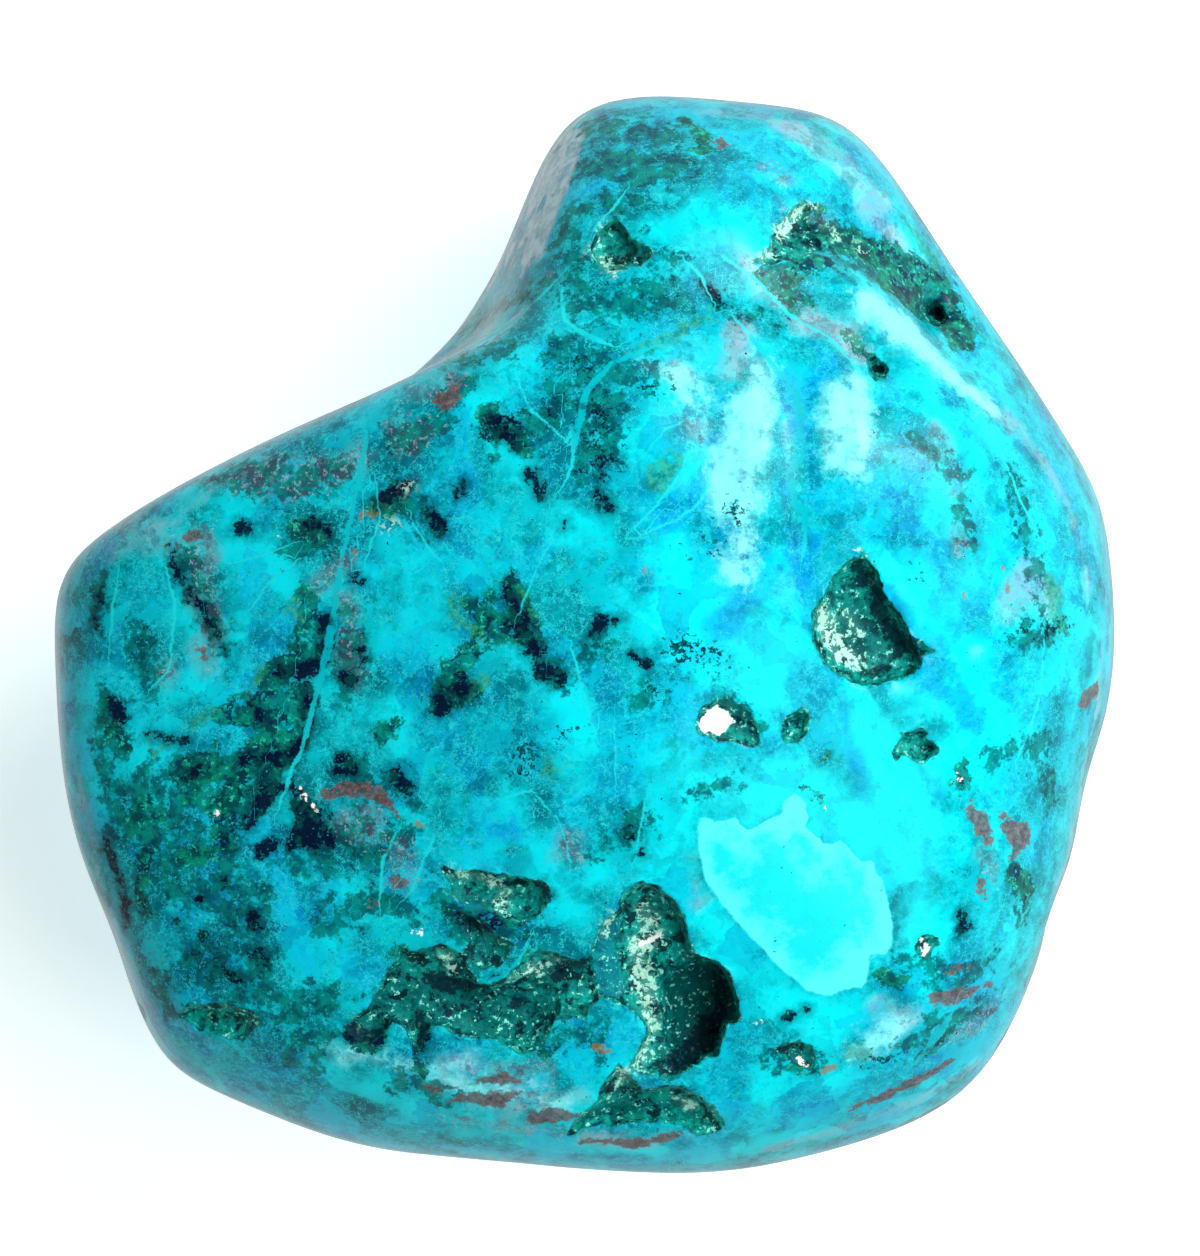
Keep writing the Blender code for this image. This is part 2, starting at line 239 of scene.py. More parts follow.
coarse.faces.index_update()
in_vug = [face not in skin for face in coarse.faces]
solid_tree = BVHTree.FromBMesh(coarse)
rim_tree = tree_of([point for edge in rims for point in along(edge, RIM_STEP)])

capped = coarse.copy()
capped.faces.ensure_lookup_table()
bmesh.ops.delete(capped, geom=[f for f, sunk in zip(capped.faces, in_vug) if sunk], context="FACES")
mouths = [edge for edge in capped.edges if edge.is_boundary]
bmesh.ops.holes_fill(capped, edges=mouths, sides=0)
bmesh.ops.triangulate(capped, faces=[face for face in capped.faces if len(face.verts) > 4])
capped_tree = BVHTree.FromBMesh(capped)
print("edges round the mouths:", len(mouths), "faces with the vugs filled:", len(capped.faces))
capped.free()

# %% Round it and remesh it
VOXEL = 0.41 * MM
RIM_CREASE = 0.8
ROUNDING = 2
PAIR_FLAT = math.radians(25)  # triangles that meet at a flatter angle are paired into a square
PAIR_SQUARE = math.radians(50)  # if its corners are this near to square


def new_piece(name, bm):
    """An object of a mesh. The mesh is used up."""
    mesh = bpy.data.meshes.new(name)
    bm.to_mesh(mesh)
    bm.free()
    piece = bpy.data.objects.new(name, mesh)
    bpy.context.scene.collection.objects.link(piece)
    return piece


def settle(piece):
    """Makes what the modifiers show the piece's own mesh."""
    graph = bpy.context.evaluated_depsgraph_get()
    settled = bpy.data.meshes.new_from_object(piece.evaluated_get(graph))
    piece.modifiers.clear()
    piece.data = settled


for edge in rims:
    edge[crease] = RIM_CREASE
bmesh.ops.join_triangles(
    coarse,
    faces=[face for face, sunk in zip(coarse.faces, in_vug) if not sunk],
    angle_face_threshold=PAIR_FLAT,
    angle_shape_threshold=PAIR_SQUARE,
)
stone = new_piece("polished_stone", coarse)
rounding = stone.modifiers.new("rounding", "SUBSURF")
rounding.levels = ROUNDING
rounding.render_levels = ROUNDING
remesh = stone.modifiers.new("even_faces", "REMESH")
remesh.mode = "VOXEL"
remesh.voxel_size = VOXEL
settle(stone)
print("even faces:", len(stone.data.polygons))

# %% [markdown]
# ## Polish
# The polished skin is faired: each vertex is drawn to the middle of its neighbours a few times,
# which takes out the last of the facets but leaves the folds.

# %% Fair the skin
FAIRING_ROUNDS = 12
FAIRING_PULL = 0.6
FAIR_FROM_RIM = 0.45 * MM


def rim_distance(point):
    """How far inside a rim a point lies: positive in a vug, negative on the skin."""
    distance = rim_tree.find(point)[2]
    return distance if in_vug[solid_tree.find_nearest(point)[2]] else -distance


def fair(bm, vertices, rounds):
    for _ in range(rounds):
        bmesh.ops.smooth_vert(
            bm, verts=vertices, factor=FAIRING_PULL, use_axis_x=True, use_axis_y=True, use_axis_z=True
        )


bm = bmesh.new()
bm.from_mesh(stone.data)
sunk, crust, depth = (bm.verts.layers.float.new(name) for name in ("sunk", "crust", "depth"))
skin_vertices = [vertex for vertex in bm.verts if rim_distance(vertex.co) < -FAIR_FROM_RIM]
fair(bm, skin_vertices, FAIRING_ROUNDS)
print("faired vertices:", len(skin_vertices), "of", len(bm.verts))

# %% [markdown]
# ## The mouths of the vugs
# The solid's vugs are plain bowls, which is all that its faces can carry. A real mouth has
# corners, bays and tongues, where the rock broke or the crystals stopped growing. So each mouth
# on top is drawn again, as an outline in pixels of the picture. Inside it the stone sinks at
# least to a shallow floor, and outside it the bowl is filled up to the skin again. A vertex
# moves along its own sight line only, so that the outline stays as it is drawn. Faces are split
# first where a vug or a mouth is, so that its edge isn't a staircase.

# %% Outlines of the mouths
MOUTHS = (
    # (least depth of the floor in mm, outline as (across, down) in pixels)
    # The three-cornered vug, right of the middle.
    (1.3, ((847, 553), (856, 560), (864, 549), (869, 560), (874, 566), (882, 585), (884, 602), (893, 618),
        (903, 630), (916, 638), (937, 649), (925, 656), (917, 668), (905, 668), (893, 676), (880, 686),
        (868, 683), (850, 680), (835, 674), (822, 662), (815, 648), (812, 632), (811, 612), (818, 600),
        (832, 592), (840, 580), (845, 566))),
    # The deep vug at the front, with the slope on its left, and the fan below it.
    (1.1, ((590, 950), (600, 925), (617, 910), (622, 893), (640, 880), (655, 884), (668, 893), (678, 905),
        (687, 922), (692, 948), (702, 957), (718, 961), (730, 972), (736, 990), (741, 1012), (741, 1022),
        (728, 1024), (724, 1040), (718, 1056), (704, 1060), (690, 1068), (680, 1078), (668, 1080),
        (655, 1076), (640, 1076), (628, 1066), (640, 1050), (644, 1030), (640, 1016), (628, 1007),
        (615, 1003), (598, 1000), (593, 985))),
    (0.7, ((618, 1064), (632, 1074), (642, 1090), (660, 1084), (680, 1086), (700, 1096), (716, 1108),
        (726, 1124), (714, 1136), (690, 1134), (680, 1124), (655, 1122), (620, 1126), (590, 1126),
        (566, 1136), (575, 1120), (592, 1106), (600, 1090), (610, 1074))),
    # The shallow hollow that runs into it from the left, and the two patches above.
    (0.8, ((396, 942), (410, 952), (428, 946), (442, 944), (455, 950), (466, 956), (470, 970), (478, 980),
        (490, 986), (505, 978), (518, 964), (530, 950), (545, 950), (556, 952), (568, 958), (580, 962),
        (594, 956), (600, 975), (600, 1000), (590, 1008), (588, 1022), (572, 1018), (556, 1020),
        (549, 1036), (545, 1048), (525, 1056), (510, 1050), (498, 1040), (480, 1040), (460, 1038),
        (446, 1028), (434, 1026), (424, 1036), (420, 1052), (414, 1058), (410, 1044), (402, 1026),
        (392, 1020), (384, 1036), (372, 1044), (358, 1042), (346, 1028), (352, 1018), (366, 1008),
        (376, 992), (386, 972), (396, 960))),
    (0.7, ((440, 864), (452, 868), (470, 871), (490, 876), (505, 872), (520, 880), (540, 878), (552, 890),
        (550, 902), (536, 904), (532, 916), (520, 920), (505, 914), (494, 910), (480, 900), (466, 892),
        (448, 884))),
    (0.6, ((460, 912), (474, 918), (492, 930), (504, 938), (516, 944), (510, 956), (497, 968), (480, 970),
        (470, 962), (462, 950), (470, 938))),
    # On the front corner.
    (0.6, ((176, 1014), (190, 1002), (206, 1005), (220, 1000), (236, 1006), (250, 1010), (263, 1020),
        (254, 1030), (244, 1044), (232, 1038), (214, 1036), (200, 1030), (188, 1022))),
    # On the neck: a crescent, the crystal nest, and two deep holes.
    (0.7, ((588, 246), (596, 232), (606, 222), (616, 214), (624, 226), (632, 240), (648, 246), (654, 256),
        (642, 266), (628, 270), (612, 276), (598, 270), (588, 258))),
    (0.7, ((771, 240), (776, 224), (790, 212), (804, 200), (813, 208), (808, 222), (816, 236), (826, 252),
        (812, 254), (800, 264), (786, 260), (772, 264), (750, 264), (762, 254))),
    (2.0, ((918, 310), (925, 300), (938, 298), (946, 308), (950, 318), (942, 327), (930, 324))),
    (1.4, ((864, 360), (874, 356), (884, 362), (891, 370), (886, 380), (875, 381), (868, 372))),
    # Holes no wider than a lentil.
    (0.8, ((693, 722), (700, 708), (714, 698), (730, 700), (744, 702), (752, 716), (760, 732), (765, 748),
        (750, 748), (735, 742), (722, 743), (706, 738), (697, 732))),
    (0.5, ((780, 730), (786, 716), (797, 710), (804, 706), (811, 716), (808, 732), (800, 744), (790, 744),
        (781, 740))),
    (0.5, ((892, 754), (898, 738), (905, 730), (912, 732), (918, 726), (925, 726), (928, 738), (942, 748),
        (940, 756), (930, 758), (925, 765), (914, 760), (905, 755), (897, 762))),
    (0.4, ((914, 948), (918, 938), (928, 935), (938, 936), (941, 944), (934, 950), (930, 958),
        (922, 960))),
    (0.4, ((772, 1050), (785, 1042), (800, 1041), (812, 1046), (816, 1058), (808, 1068), (798, 1066),
        (788, 1058))),
)
print("mouths:", len(MOUTHS))

# %% From the picture to the stone and back
SPREAD = PICTURE_TALL / PICTURE[1] / (EYE.z - WAIST)  # what a pixel covers, per metre of height
SEEN_WITHIN = 7 * MM  # what lies no further under the skin than this belongs to the top
UPRIGHT = 0.12  # skin whose normal looks up by less isn't the top


def sight_to(point):
    return (point - EYE).normalized()


def seen_at(points):
    """Where the eye sees each point, in pixels across and down, and what a pixel covers there."""
    pixel = SPREAD * (EYE.z - points[:, 2])
    across = PICTURE[0] / 2 + (points[:, 0] - EYE.x) / pixel
    down = PICTURE[1] / 2 - (points[:, 1] - EYE.y) / pixel
    return np.column_stack((across, down)), pixel


def inside_by(spots, outline):
    """How many pixels each spot lies inside an outline; negative outside it."""
    nearest = np.full(len(spots), np.inf)
    inside = np.zeros(len(spots), bool)
    ring = np.array(outline, float)
    for start, end in zip(ring, np.roll(ring, -1, axis=0)):
        run = end - start
        share = np.clip((spots - start) @ run / (run @ run), 0, 1)
        nearest = np.minimum(nearest, np.linalg.norm(spots - start - share[:, None] * run, axis=1))
        spans = (start[1] > spots[:, 1]) != (end[1] > spots[:, 1])
        crossing = start[0] + (spots[:, 1] - start[1]) / (end[1] - start[1] + 1e-9) * run[0]
        inside ^= spans & (spots[:, 0] < crossing)
    return np.where(inside, nearest, -nearest)


print("a pixel at the waist covers, mm:", round(SPREAD * (EYE.z - WAIST) / MM, 4))

# %% What lies in a mouth
def places_of(vertices):
    return np.array([vertex.co for vertex in vertices])


def in_mouths(points):
    """How far each point lies inside the nearest mouth, in m, and that mouth's floor."""
    spots, pixel = seen_at(points)
    furthest = np.full(len(points), -np.inf)
    floor = np.zeros(len(points))
    for least_depth, outline in MOUTHS:
        inside = inside_by(spots, outline) * pixel
        floor = np.where(inside > furthest, least_depth * MM, floor)
        furthest = np.maximum(furthest, inside)
    return furthest, floor


def top_over(point):
    """The place on the filled skin that hides a point from the eye, or None off the top."""
    place, normal, _, _ = capped_tree.ray_cast(EYE, sight_to(point))
    if place is None or normal.z < UPRIGHT or (place - point).length > SEEN_WITHIN:
        return None
    return place


print("vertices in mouths:", int((in_mouths(places_of(bm.verts))[0] > 0).sum()))

# %% Finer faces in the vugs and at their mouths
REFINE_MARGIN = 0.35 * MM
reach_in, _ = in_mouths(places_of(bm.verts))
fine = set()
for vertex, inside in zip(bm.verts, reach_in):
    if inside > -REFINE_MARGIN and top_over(vertex.co):
        fine.add(vertex)
    elif rim_distance(vertex.co) > -REFINE_MARGIN and not top_over(vertex.co):
        fine.add(vertex)
fine_faces = [face for face in bm.faces if fine.issuperset(face.verts)]
fine_edges = list({edge for face in fine_faces for edge in face.edges})
bmesh.ops.subdivide_edges(bm, edges=fine_edges, cuts=1, use_grid_fill=True)
print("faces with refined vugs:", len(bm.faces))

# %% Sink what lies in a mouth and fill what doesn't
WALL = 0.38 * MM  # how far in from a mouth's edge its wall reaches the floor
FLOOR_AT_WALL = 0.5  # how deep the floor is there, as a share of its full depth
BOWL = 1.5 * MM  # and how far in it is at its full depth
RAGGED_MOUTH = 0.14 * MM  # how far noise pushes the edge
RAGGED_LENGTH = 0.7 * MM
RAGGED_NOISE = (0.8, 2.0, 3)  # its roughness, how much finer each octave is, and how many there are
FILL_ROUNDS = 24


def eased(share):
    """0 to 1, slow at both ends."""
    share = np.clip(share, 0, 1)
    return share * share * (3 - 2 * share)


reach_in, floors = in_mouths(places_of(bm.verts))
reached = {}
filled = []
for vertex, inside, floor in zip(bm.verts, reach_in, floors):
    from_rim = rim_distance(vertex.co)
    top = top_over(vertex.co)
    if top is None:
        reached[vertex] = from_rim
        continue
    inside += RAGGED_MOUTH * noise.fractal(vertex.co / RAGGED_LENGTH, *RAGGED_NOISE)
    reached[vertex] = inside
    sight = sight_to(vertex.co)
    now = max(0.0, (vertex.co - top).dot(sight)) if from_rim > 0 else 0.0
    bowl = FLOOR_AT_WALL + (1 - FLOOR_AT_WALL) * eased(inside / BOWL)
    wanted = eased(inside / WALL) * max(now, floor * bowl)
    vertex.co += sight * (wanted - now)
    if inside < -WALL / 2 and from_rim > -WALL * 2:
        filled.append(vertex)
fair(bm, filled, FILL_ROUNDS)
print("filled vertices:", len(filled))

# %% [markdown]
# ## Grit in the vugs
# Tiny crystals grew as a crust over the floors and walls of the vugs. Modelling each would take
# millions of faces, so every vertex in a vug is pushed along its normal instead, by noise that
# makes lumps of two sizes. Near the rim the lumps fade, so that the polish ends in a clean edge.
# Each vertex also keeps how far inside a mouth, how high on its lump and how deep it lies, for
# the material to read.

# %% Roughen the vugs
LUMP = 0.50 * MM  # across the largest lumps
LUMP_RISE = 0.24 * MM
GRAIN_RISE = 0.12 * MM
GRAIN = 0.4  # how wide a grain is, as a share of a lump
RIM_FADE = 0.4 * MM
LUMP_BENT = 0.35
SMALLER = 2.2  # how many small lumps go across a large one
ELSEWHERE = Vector((7.1, 3.3, 5.2))  # so that the small lumps don't line up with the large
WIDE_DROP, SMALL_DROP = 0.75, 0.55  # how far it is down to the seams between lumps of each size
MEAN_HEIGHT = 0.45  # lumps higher than this rise, and the rest sink
OUTSIDE = -4.0  # no field goes lower, in mm
LUMP_SEED = 7  # without it, noise_vector would shift with the clock from run to run
noise.seed_set(LUMP_SEED)


def lump_height(point):
    """From 0 in the seams between lumps to 1 on their tops: two sizes of lump, one on another."""
    bent = point / LUMP + noise.noise_vector(point / LUMP) * LUMP_BENT
    wide = noise.voronoi(bent)[0][0]
    small = noise.voronoi(bent * SMALLER + ELSEWHERE)[0][0]
    return max(0.0, 1 - WIDE_DROP * wide - SMALL_DROP * small)


bm.normal_update()
pushes = []
for vertex in bm.verts:
    inside = reached[vertex]
    vertex[sunk] = max(inside / MM, OUTSIDE)
    if inside > 0:
        height = lump_height(vertex.co)
        fade_in = min(1.0, inside / RIM_FADE)
        vertex[crust] = height
        vertex[depth] = (vertex.co - capped_tree.find_nearest(vertex.co)[0]).length / MM
        grain = noise.noise(vertex.co / (LUMP * GRAIN))
        push = fade_in * (LUMP_RISE * (height - MEAN_HEIGHT) + GRAIN_RISE * grain)
        pushes.append((vertex, vertex.normal * push))
for vertex, push in pushes:
    vertex.co += push
bm.to_mesh(stone.data)
bm.free()
stone.data.shade_smooth()
print("roughened vertices:", len(pushes))
print("triangles:", sum(len(face.vertices) - 2 for face in stone.data.polygons))

# %% [markdown]
# ## Where each colour lies
# A polished face is a cut through rock that formed in patches: malachite, black and rusty
# grains, pale chalcedony, blue seams. Some strokes paint light and shade instead: highlights on
# the flutes, the ridge and the neck's dome, reflections on the steep rims, light along the lower
# rim, and shade in the cleft, under the shoulder, in the hollows and on the far walls of vugs.
# Each kind of patch is drawn here as strokes. A stroke is a row of spots, (across, down, half
# width), in pixels of the picture, which a ray from the eye puts on the skin. Every vertex then
# keeps, for each kind, how deep it lies inside the nearest stroke, in millimetres, so that the
# material can give each patch its own ragged edge.

# %% Strokes of clear malachite
GREEN = (
    # The large patch on the left, from its top down.
    ((304, 592, 8), (312, 618, 13), (306, 652, 17), (272, 678, 15)),
    ((302, 700, 18), (262, 710, 24), (222, 714, 12)),
    ((292, 742, 18), (262, 762, 24), (240, 792, 20), (222, 812, 17), (228, 842, 13)),
    ((186, 856, 9), (208, 854, 8)),
    ((108, 706, 6), (114, 728, 13), (128, 742, 6)),
    ((210, 768, 16), (180, 768, 14), (190, 792, 14)),
    ((148, 798, 9), (138, 826, 11), (160, 814, 9)),
    ((148, 852, 10), (138, 890, 8), (150, 915, 7)),
    # The pair in the middle.
    ((511, 572, 7), (518, 605, 15), (536, 645, 14)),
    ((490, 598, 6), (468, 604, 8), (500, 630, 16)),
    ((476, 648, 13), (452, 668, 11), (440, 700, 9), (470, 690, 12)),
    ((378, 735, 9), (398, 724, 8)),
    ((296, 526, 10), (322, 532, 11)),
    ((380, 506, 12), (404, 492, 12)),
    ((486, 414, 9), (502, 428, 12), (520, 442, 10)),
    # The roof of the neck, its foot and the green valley.
    ((684, 118, 5), (700, 136, 9), (704, 152, 7)),
    ((816, 212, 10), (816, 232, 16), (840, 242, 18), (862, 246, 16)),
    ((764, 276, 9), (788, 274, 13), (806, 264, 13), (828, 262, 12)),
    ((776, 288, 7), (786, 300, 6), (800, 308, 5), (812, 312, 3)),
    ((846, 242, 14), (868, 250, 19), (888, 262, 23), (910, 276, 26), (932, 288, 25), (950, 302, 20)),
    ((884, 284, 12), (908, 300, 22), (938, 318, 26), (962, 340, 18)),
    ((846, 336, 6), (858, 350, 8), (874, 366, 9)),
    # Round the small pits and the white spot.
    ((724, 708, 14), (744, 728, 13)),
    ((795, 725, 14), (800, 716, 10)),
    ((904, 742, 13), (926, 748, 13)),
    ((962, 770, 10), (962, 786, 8)),
    ((800, 786, 6), (818, 800, 6)),
    ((824, 758, 6), (826, 756, 6)),
    ((792, 1050, 14), (806, 1060, 12)),
    ((1014, 868, 10), (1028, 890, 12), (1024, 908, 7)),
    ((882, 976, 9), (900, 984, 9)),
    ((918, 1058, 6), (940, 1040, 8), (958, 1024, 5)),
    ((138, 998, 9), (142, 1012, 7)),
    # Beyond the rims of the vugs at the front.
    ((640, 1100, 12), (690, 1112, 12), (722, 1122, 8)),
    ((396, 952, 7), (420, 962, 9), (448, 958, 8)),
    ((500, 915, 8), (524, 925, 8), (530, 940, 6)),
    ((446, 908, 7), (456, 912, 6)),
    ((352, 1040, 7), (372, 1046, 7)),
    ((560, 1040, 6), (548, 1052, 6)),
    ((420, 1060, 6), (424, 1076, 5)),
)
print("strokes of clear malachite:", len(GREEN))

# %% Strokes of mottled green with painted shade, and of olive
MOSS_AND_SHADE = (
    # Painted shade on the flank under the shoulder of the neck.
    ((455, 335, 12), (486, 318, 14), (520, 300, 12), (548, 284, 8)),
    # Dark stone, mottled green and black, with no clear edge: the neck's roof and left flank.
    ((590, 125, 20), (640, 135, 28), (690, 140, 20)),
    ((590, 165, 24), (640, 170, 28), (680, 165, 18)),
    ((600, 205, 14), (640, 200, 12)),
    ((575, 210, 16), (560, 250, 18), (575, 285, 14)),
    ((640, 250, 14), (672, 262, 10)),
    ((580, 300, 20), (640, 300, 24), (690, 300, 14)),
    ((712, 300, 8), (740, 312, 10), (770, 322, 8)),
    ((812, 230, 24), (850, 252, 34), (890, 274, 38), (930, 298, 36), (960, 336, 22)),
    ((775, 270, 14), (800, 300, 12)),
    ((566, 350, 22), (600, 370, 26), (650, 375, 18)),
    ((600, 410, 28), (596, 460, 24)),
    ((560, 400, 20), (540, 430, 16), (500, 430, 22)),
    ((460, 385, 16), (440, 420, 20), (400, 440, 18)),
    ((500, 350, 20), (470, 360, 14)),
    # The left.
    ((230, 475, 20), (290, 482, 24), (340, 470, 18)),
    # Painted shade along the step of the flat on the left edge.
    ((100, 580, 12), (98, 620, 12)),
    ((180, 800, 30), (250, 770, 34), (280, 730, 26)),
    ((190, 560, 14), (200, 600, 14), (220, 640, 12)),
    ((140, 640, 14), (150, 690, 16)),
    ((290, 540, 20), (320, 540, 16)),
    ((396, 500, 22), (430, 520, 14)),
    ((350, 610, 12), (352, 660, 16), (345, 700, 12)),
    ((110, 700, 16), (110, 760, 20), (120, 820, 22)),
    ((150, 790, 30), (160, 850, 26), (220, 850, 26)),
    ((190, 890, 24), (240, 900, 30), (250, 960, 28), (200, 960, 24)),
    ((290, 860, 20), (330, 850, 26), (370, 840, 24), (400, 830, 16)),
    ((350, 760, 16), (380, 790, 18), (410, 800, 14)),
    ((330, 920, 22), (380, 900, 16), (410, 910, 14)),
    ((250, 1000, 30), (320, 1010, 26), (300, 1060, 24)),
    ((160, 980, 14), (170, 1010, 14)),
    ((440, 890, 14), (470, 910, 18), (490, 940, 24), (530, 930, 16)),
    ((560, 1035, 12), (590, 1030, 12), (600, 1050, 12)),
    ((400, 1080, 16), (450, 1100, 14)),
    # The middle and the right, thinner.
    ((545, 655, 12), (560, 680, 12), (600, 640, 10)),
    ((640, 700, 12), (660, 690, 10)),
    ((690, 790, 10), (730, 780, 9)),
    ((640, 820, 14), (600, 850, 12)),
    ((730, 700, 12), (750, 730, 12)),
    ((880, 440, 9), (930, 450, 14), (960, 480, 12), (965, 540, 10)),
    ((1010, 480, 12), (1030, 540, 12), (1040, 600, 14)),
    ((1020, 640, 14), (1060, 630, 12)),
    ((1000, 760, 16), (1040, 740, 14), (1050, 800, 16)),
    ((1015, 880, 14), (1020, 920, 10)),
    ((900, 960, 14), (960, 980, 14), (990, 960, 12)),
    ((910, 1040, 16), (960, 1020, 16), (990, 1000, 12)),
    ((780, 1060, 12), (810, 1060, 12)),
    # Painted shade on the floors of the hollow at the front.
    ((366, 1026, 18), (396, 990, 20), (430, 1000, 26), (480, 1010, 26), (530, 1014, 26)),
    ((462, 925, 12), (490, 945, 16), (478, 962, 10)),
    ((540, 975, 14), (570, 980, 14)),
    ((690, 990, 30), (700, 1030, 26), (672, 1060, 18)),
    ((600, 1110, 12), (650, 1106, 10)),
)
OLIVE = (
    ((1054, 590, 12), (1060, 622, 12)),
    ((852, 1054, 10), (866, 1052, 8)),
    ((905, 222, 7), (925, 248, 10), (938, 266, 6)),
    ((655, 478, 13), (674, 466, 10)),
    ((292, 608, 5), (300, 618, 6)),
    ((262, 672, 5), (250, 690, 5)),
    ((212, 708, 5), (190, 726, 5)),
    ((148, 744, 6), (166, 752, 5)),
    ((452, 600, 5), (460, 618, 5), (480, 640, 5)),
    ((520, 596, 4), (530, 620, 5)),
    ((470, 690, 5), (486, 680, 4)),
    ((545, 772, 8), (552, 766, 6)),
    ((634, 352, 4), (660, 342, 5), (690, 326, 4), (712, 316, 3)),
)
print("strokes of mottled green:", len(MOSS_AND_SHADE), "of olive:", len(OLIVE))

# %% Strokes of black rock, of painted shade and shadow, and of specks
BLACK_AND_SHADE = (
    # Painted shade in the cleft at the lower left edge, and along the step of the flat beside it.
    ((104, 842, 3), (118, 872, 4), (126, 900, 5), (124, 930, 3)),
    ((101, 590, 2), (95, 612, 3), (92, 628, 2)),
    # In the large green patch.
    ((327, 618, 7), (326, 652, 7), (306, 673, 9), (282, 672, 8)),
    ((256, 710, 7), (262, 716, 6)),
    ((306, 697, 6), (312, 726, 8), (302, 744, 5)),
    ((240, 760, 6), (290, 758, 7), (300, 744, 5)),
    ((186, 776, 8), (196, 770, 6)),
    ((272, 786, 10), (258, 802, 9), (250, 826, 6)),
    ((150, 734, 4), (184, 742, 4)),
    ((112, 706, 6), (124, 720, 6)),
    # The pair in the middle.
    ((506, 588, 7), (514, 616, 10), (526, 642, 8), (540, 652, 8)),
    ((444, 694, 12), (466, 690, 9), (438, 712, 6), (462, 678, 7)),
    # The corner of black rock at the end of the long vein, and its neighbours.
    ((294, 786, 6), (302, 804, 11), (316, 826, 13), (294, 840, 9), (326, 842, 8)),
    ((336, 770, 4), (345, 764, 8), (358, 776, 4)),
    ((396, 772, 10), (406, 784, 8)),
    ((272, 842, 7), (262, 850, 5)),
    ((384, 500, 5), (404, 490, 7), (416, 482, 5)),
    ((428, 512, 6), (438, 530, 6)),
    ((312, 524, 5), (324, 532, 6)),
    ((240, 528, 6), (250, 534, 5)),
    ((457, 488, 5), (460, 494, 4)),
    ((356, 576, 6), (360, 580, 4)),
    ((358, 654, 6), (362, 660, 4)),
    ((344, 676, 6), (356, 682, 5)),
    ((168, 548, 2), (173, 568, 3), (186, 590, 4), (206, 616, 6), (222, 645, 3)),
    # Along the ridge and the middle.
    ((490, 416, 6), (504, 430, 8), (518, 444, 7)),
    ((533, 474, 5), (542, 496, 5)),
    ((602, 496, 5), (608, 506, 6)),
    ((565, 525, 5), (567, 524, 4)),
    ((540, 668, 6), (556, 676, 10)),
    ((634, 656, 5), (648, 664, 5)),
    ((586, 640, 3), (602, 620, 5), (620, 622, 4)),
    ((622, 826, 4), (630, 834, 4)),
    ((642, 852, 4), (644, 854, 3)),
    # Spots on the front left.
    ((198, 898, 5), (203, 896, 4)),
    ((226, 912, 5), (228, 920, 5)),
    ((224, 880, 3), (222, 890, 3)),
    ((252, 918, 6), (256, 928, 5)),
    ((202, 934, 4), (208, 938, 3)),
    ((190, 948, 5), (194, 950, 4)),
    ((258, 952, 5), (262, 964, 5)),
    ((216, 958, 4), (220, 964, 4)),
    ((230, 974, 5), (236, 980, 4)),
    ((176, 920, 4), (178, 924, 3)),
    # Small holes and slits.
    ((936, 312, 10), (942, 318, 9)),
    ((876, 370, 8), (880, 372, 6)),
    ((788, 1016, 4), (804, 1012, 4)),
    ((962, 914, 5), (964, 930, 5)),
    ((702, 280, 3), (712, 296, 4), (722, 306, 3)),
    # Painted shadow on the far walls of the vugs at the front and of the three-cornered one.
    ((708, 962, 8), (722, 990, 11), (720, 1016, 11), (702, 1040, 14), (676, 1062, 11)),
    ((876, 592, 6), (884, 618, 9), (900, 642, 9), (916, 652, 6)),
    ((857, 564, 6), (868, 580, 6)),
    ((866, 674, 4), (886, 668, 4)),
    ((352, 1030, 8), (376, 1036, 10)),
    ((420, 1020, 7), (424, 1046, 7)),
    ((430, 978, 8), (470, 984, 9), (500, 982, 6)),
    ((464, 922, 8), (496, 926, 8)),
    ((560, 972, 8), (586, 960, 7)),
    ((540, 884, 5), (548, 896, 5)),
)
SPECKS = (
    # Rock that is dusted with black grains, and small flowers of them in the clear stone.
    ((566, 364, 12), (590, 366, 14)),
    ((592, 394, 12), (604, 424, 20), (600, 458, 20), (582, 470, 12)),
    ((552, 412, 13), (560, 396, 10)),
    ((496, 428, 20), (520, 420, 14)),
    ((522, 750, 12), (524, 770, 15)),
    ((560, 734, 6), (580, 732, 8)),
    ((632, 700, 6), (650, 690, 9)),
    ((734, 504, 9), (742, 516, 9)),
    ((714, 514, 4), (716, 528, 5)),
    ((690, 544, 6), (706, 538, 6)),
    ((716, 552, 7), (726, 540, 6)),
    ((684, 438, 6), (702, 434, 6)),
    ((622, 752, 6), (630, 756, 5)),
    ((648, 388, 8), (658, 392, 8)),
    ((1000, 636, 10), (1050, 630, 12), (1068, 618, 8)),
    ((915, 575, 4), (926, 584, 5)),
    ((790, 758, 4), (798, 764, 4)),
    ((680, 650, 20), (720, 660, 14)),
    ((860, 1062, 10), (890, 1060, 8)),
)
print("strokes of black rock:", len(BLACK_AND_SHADE), "of specks:", len(SPECKS))
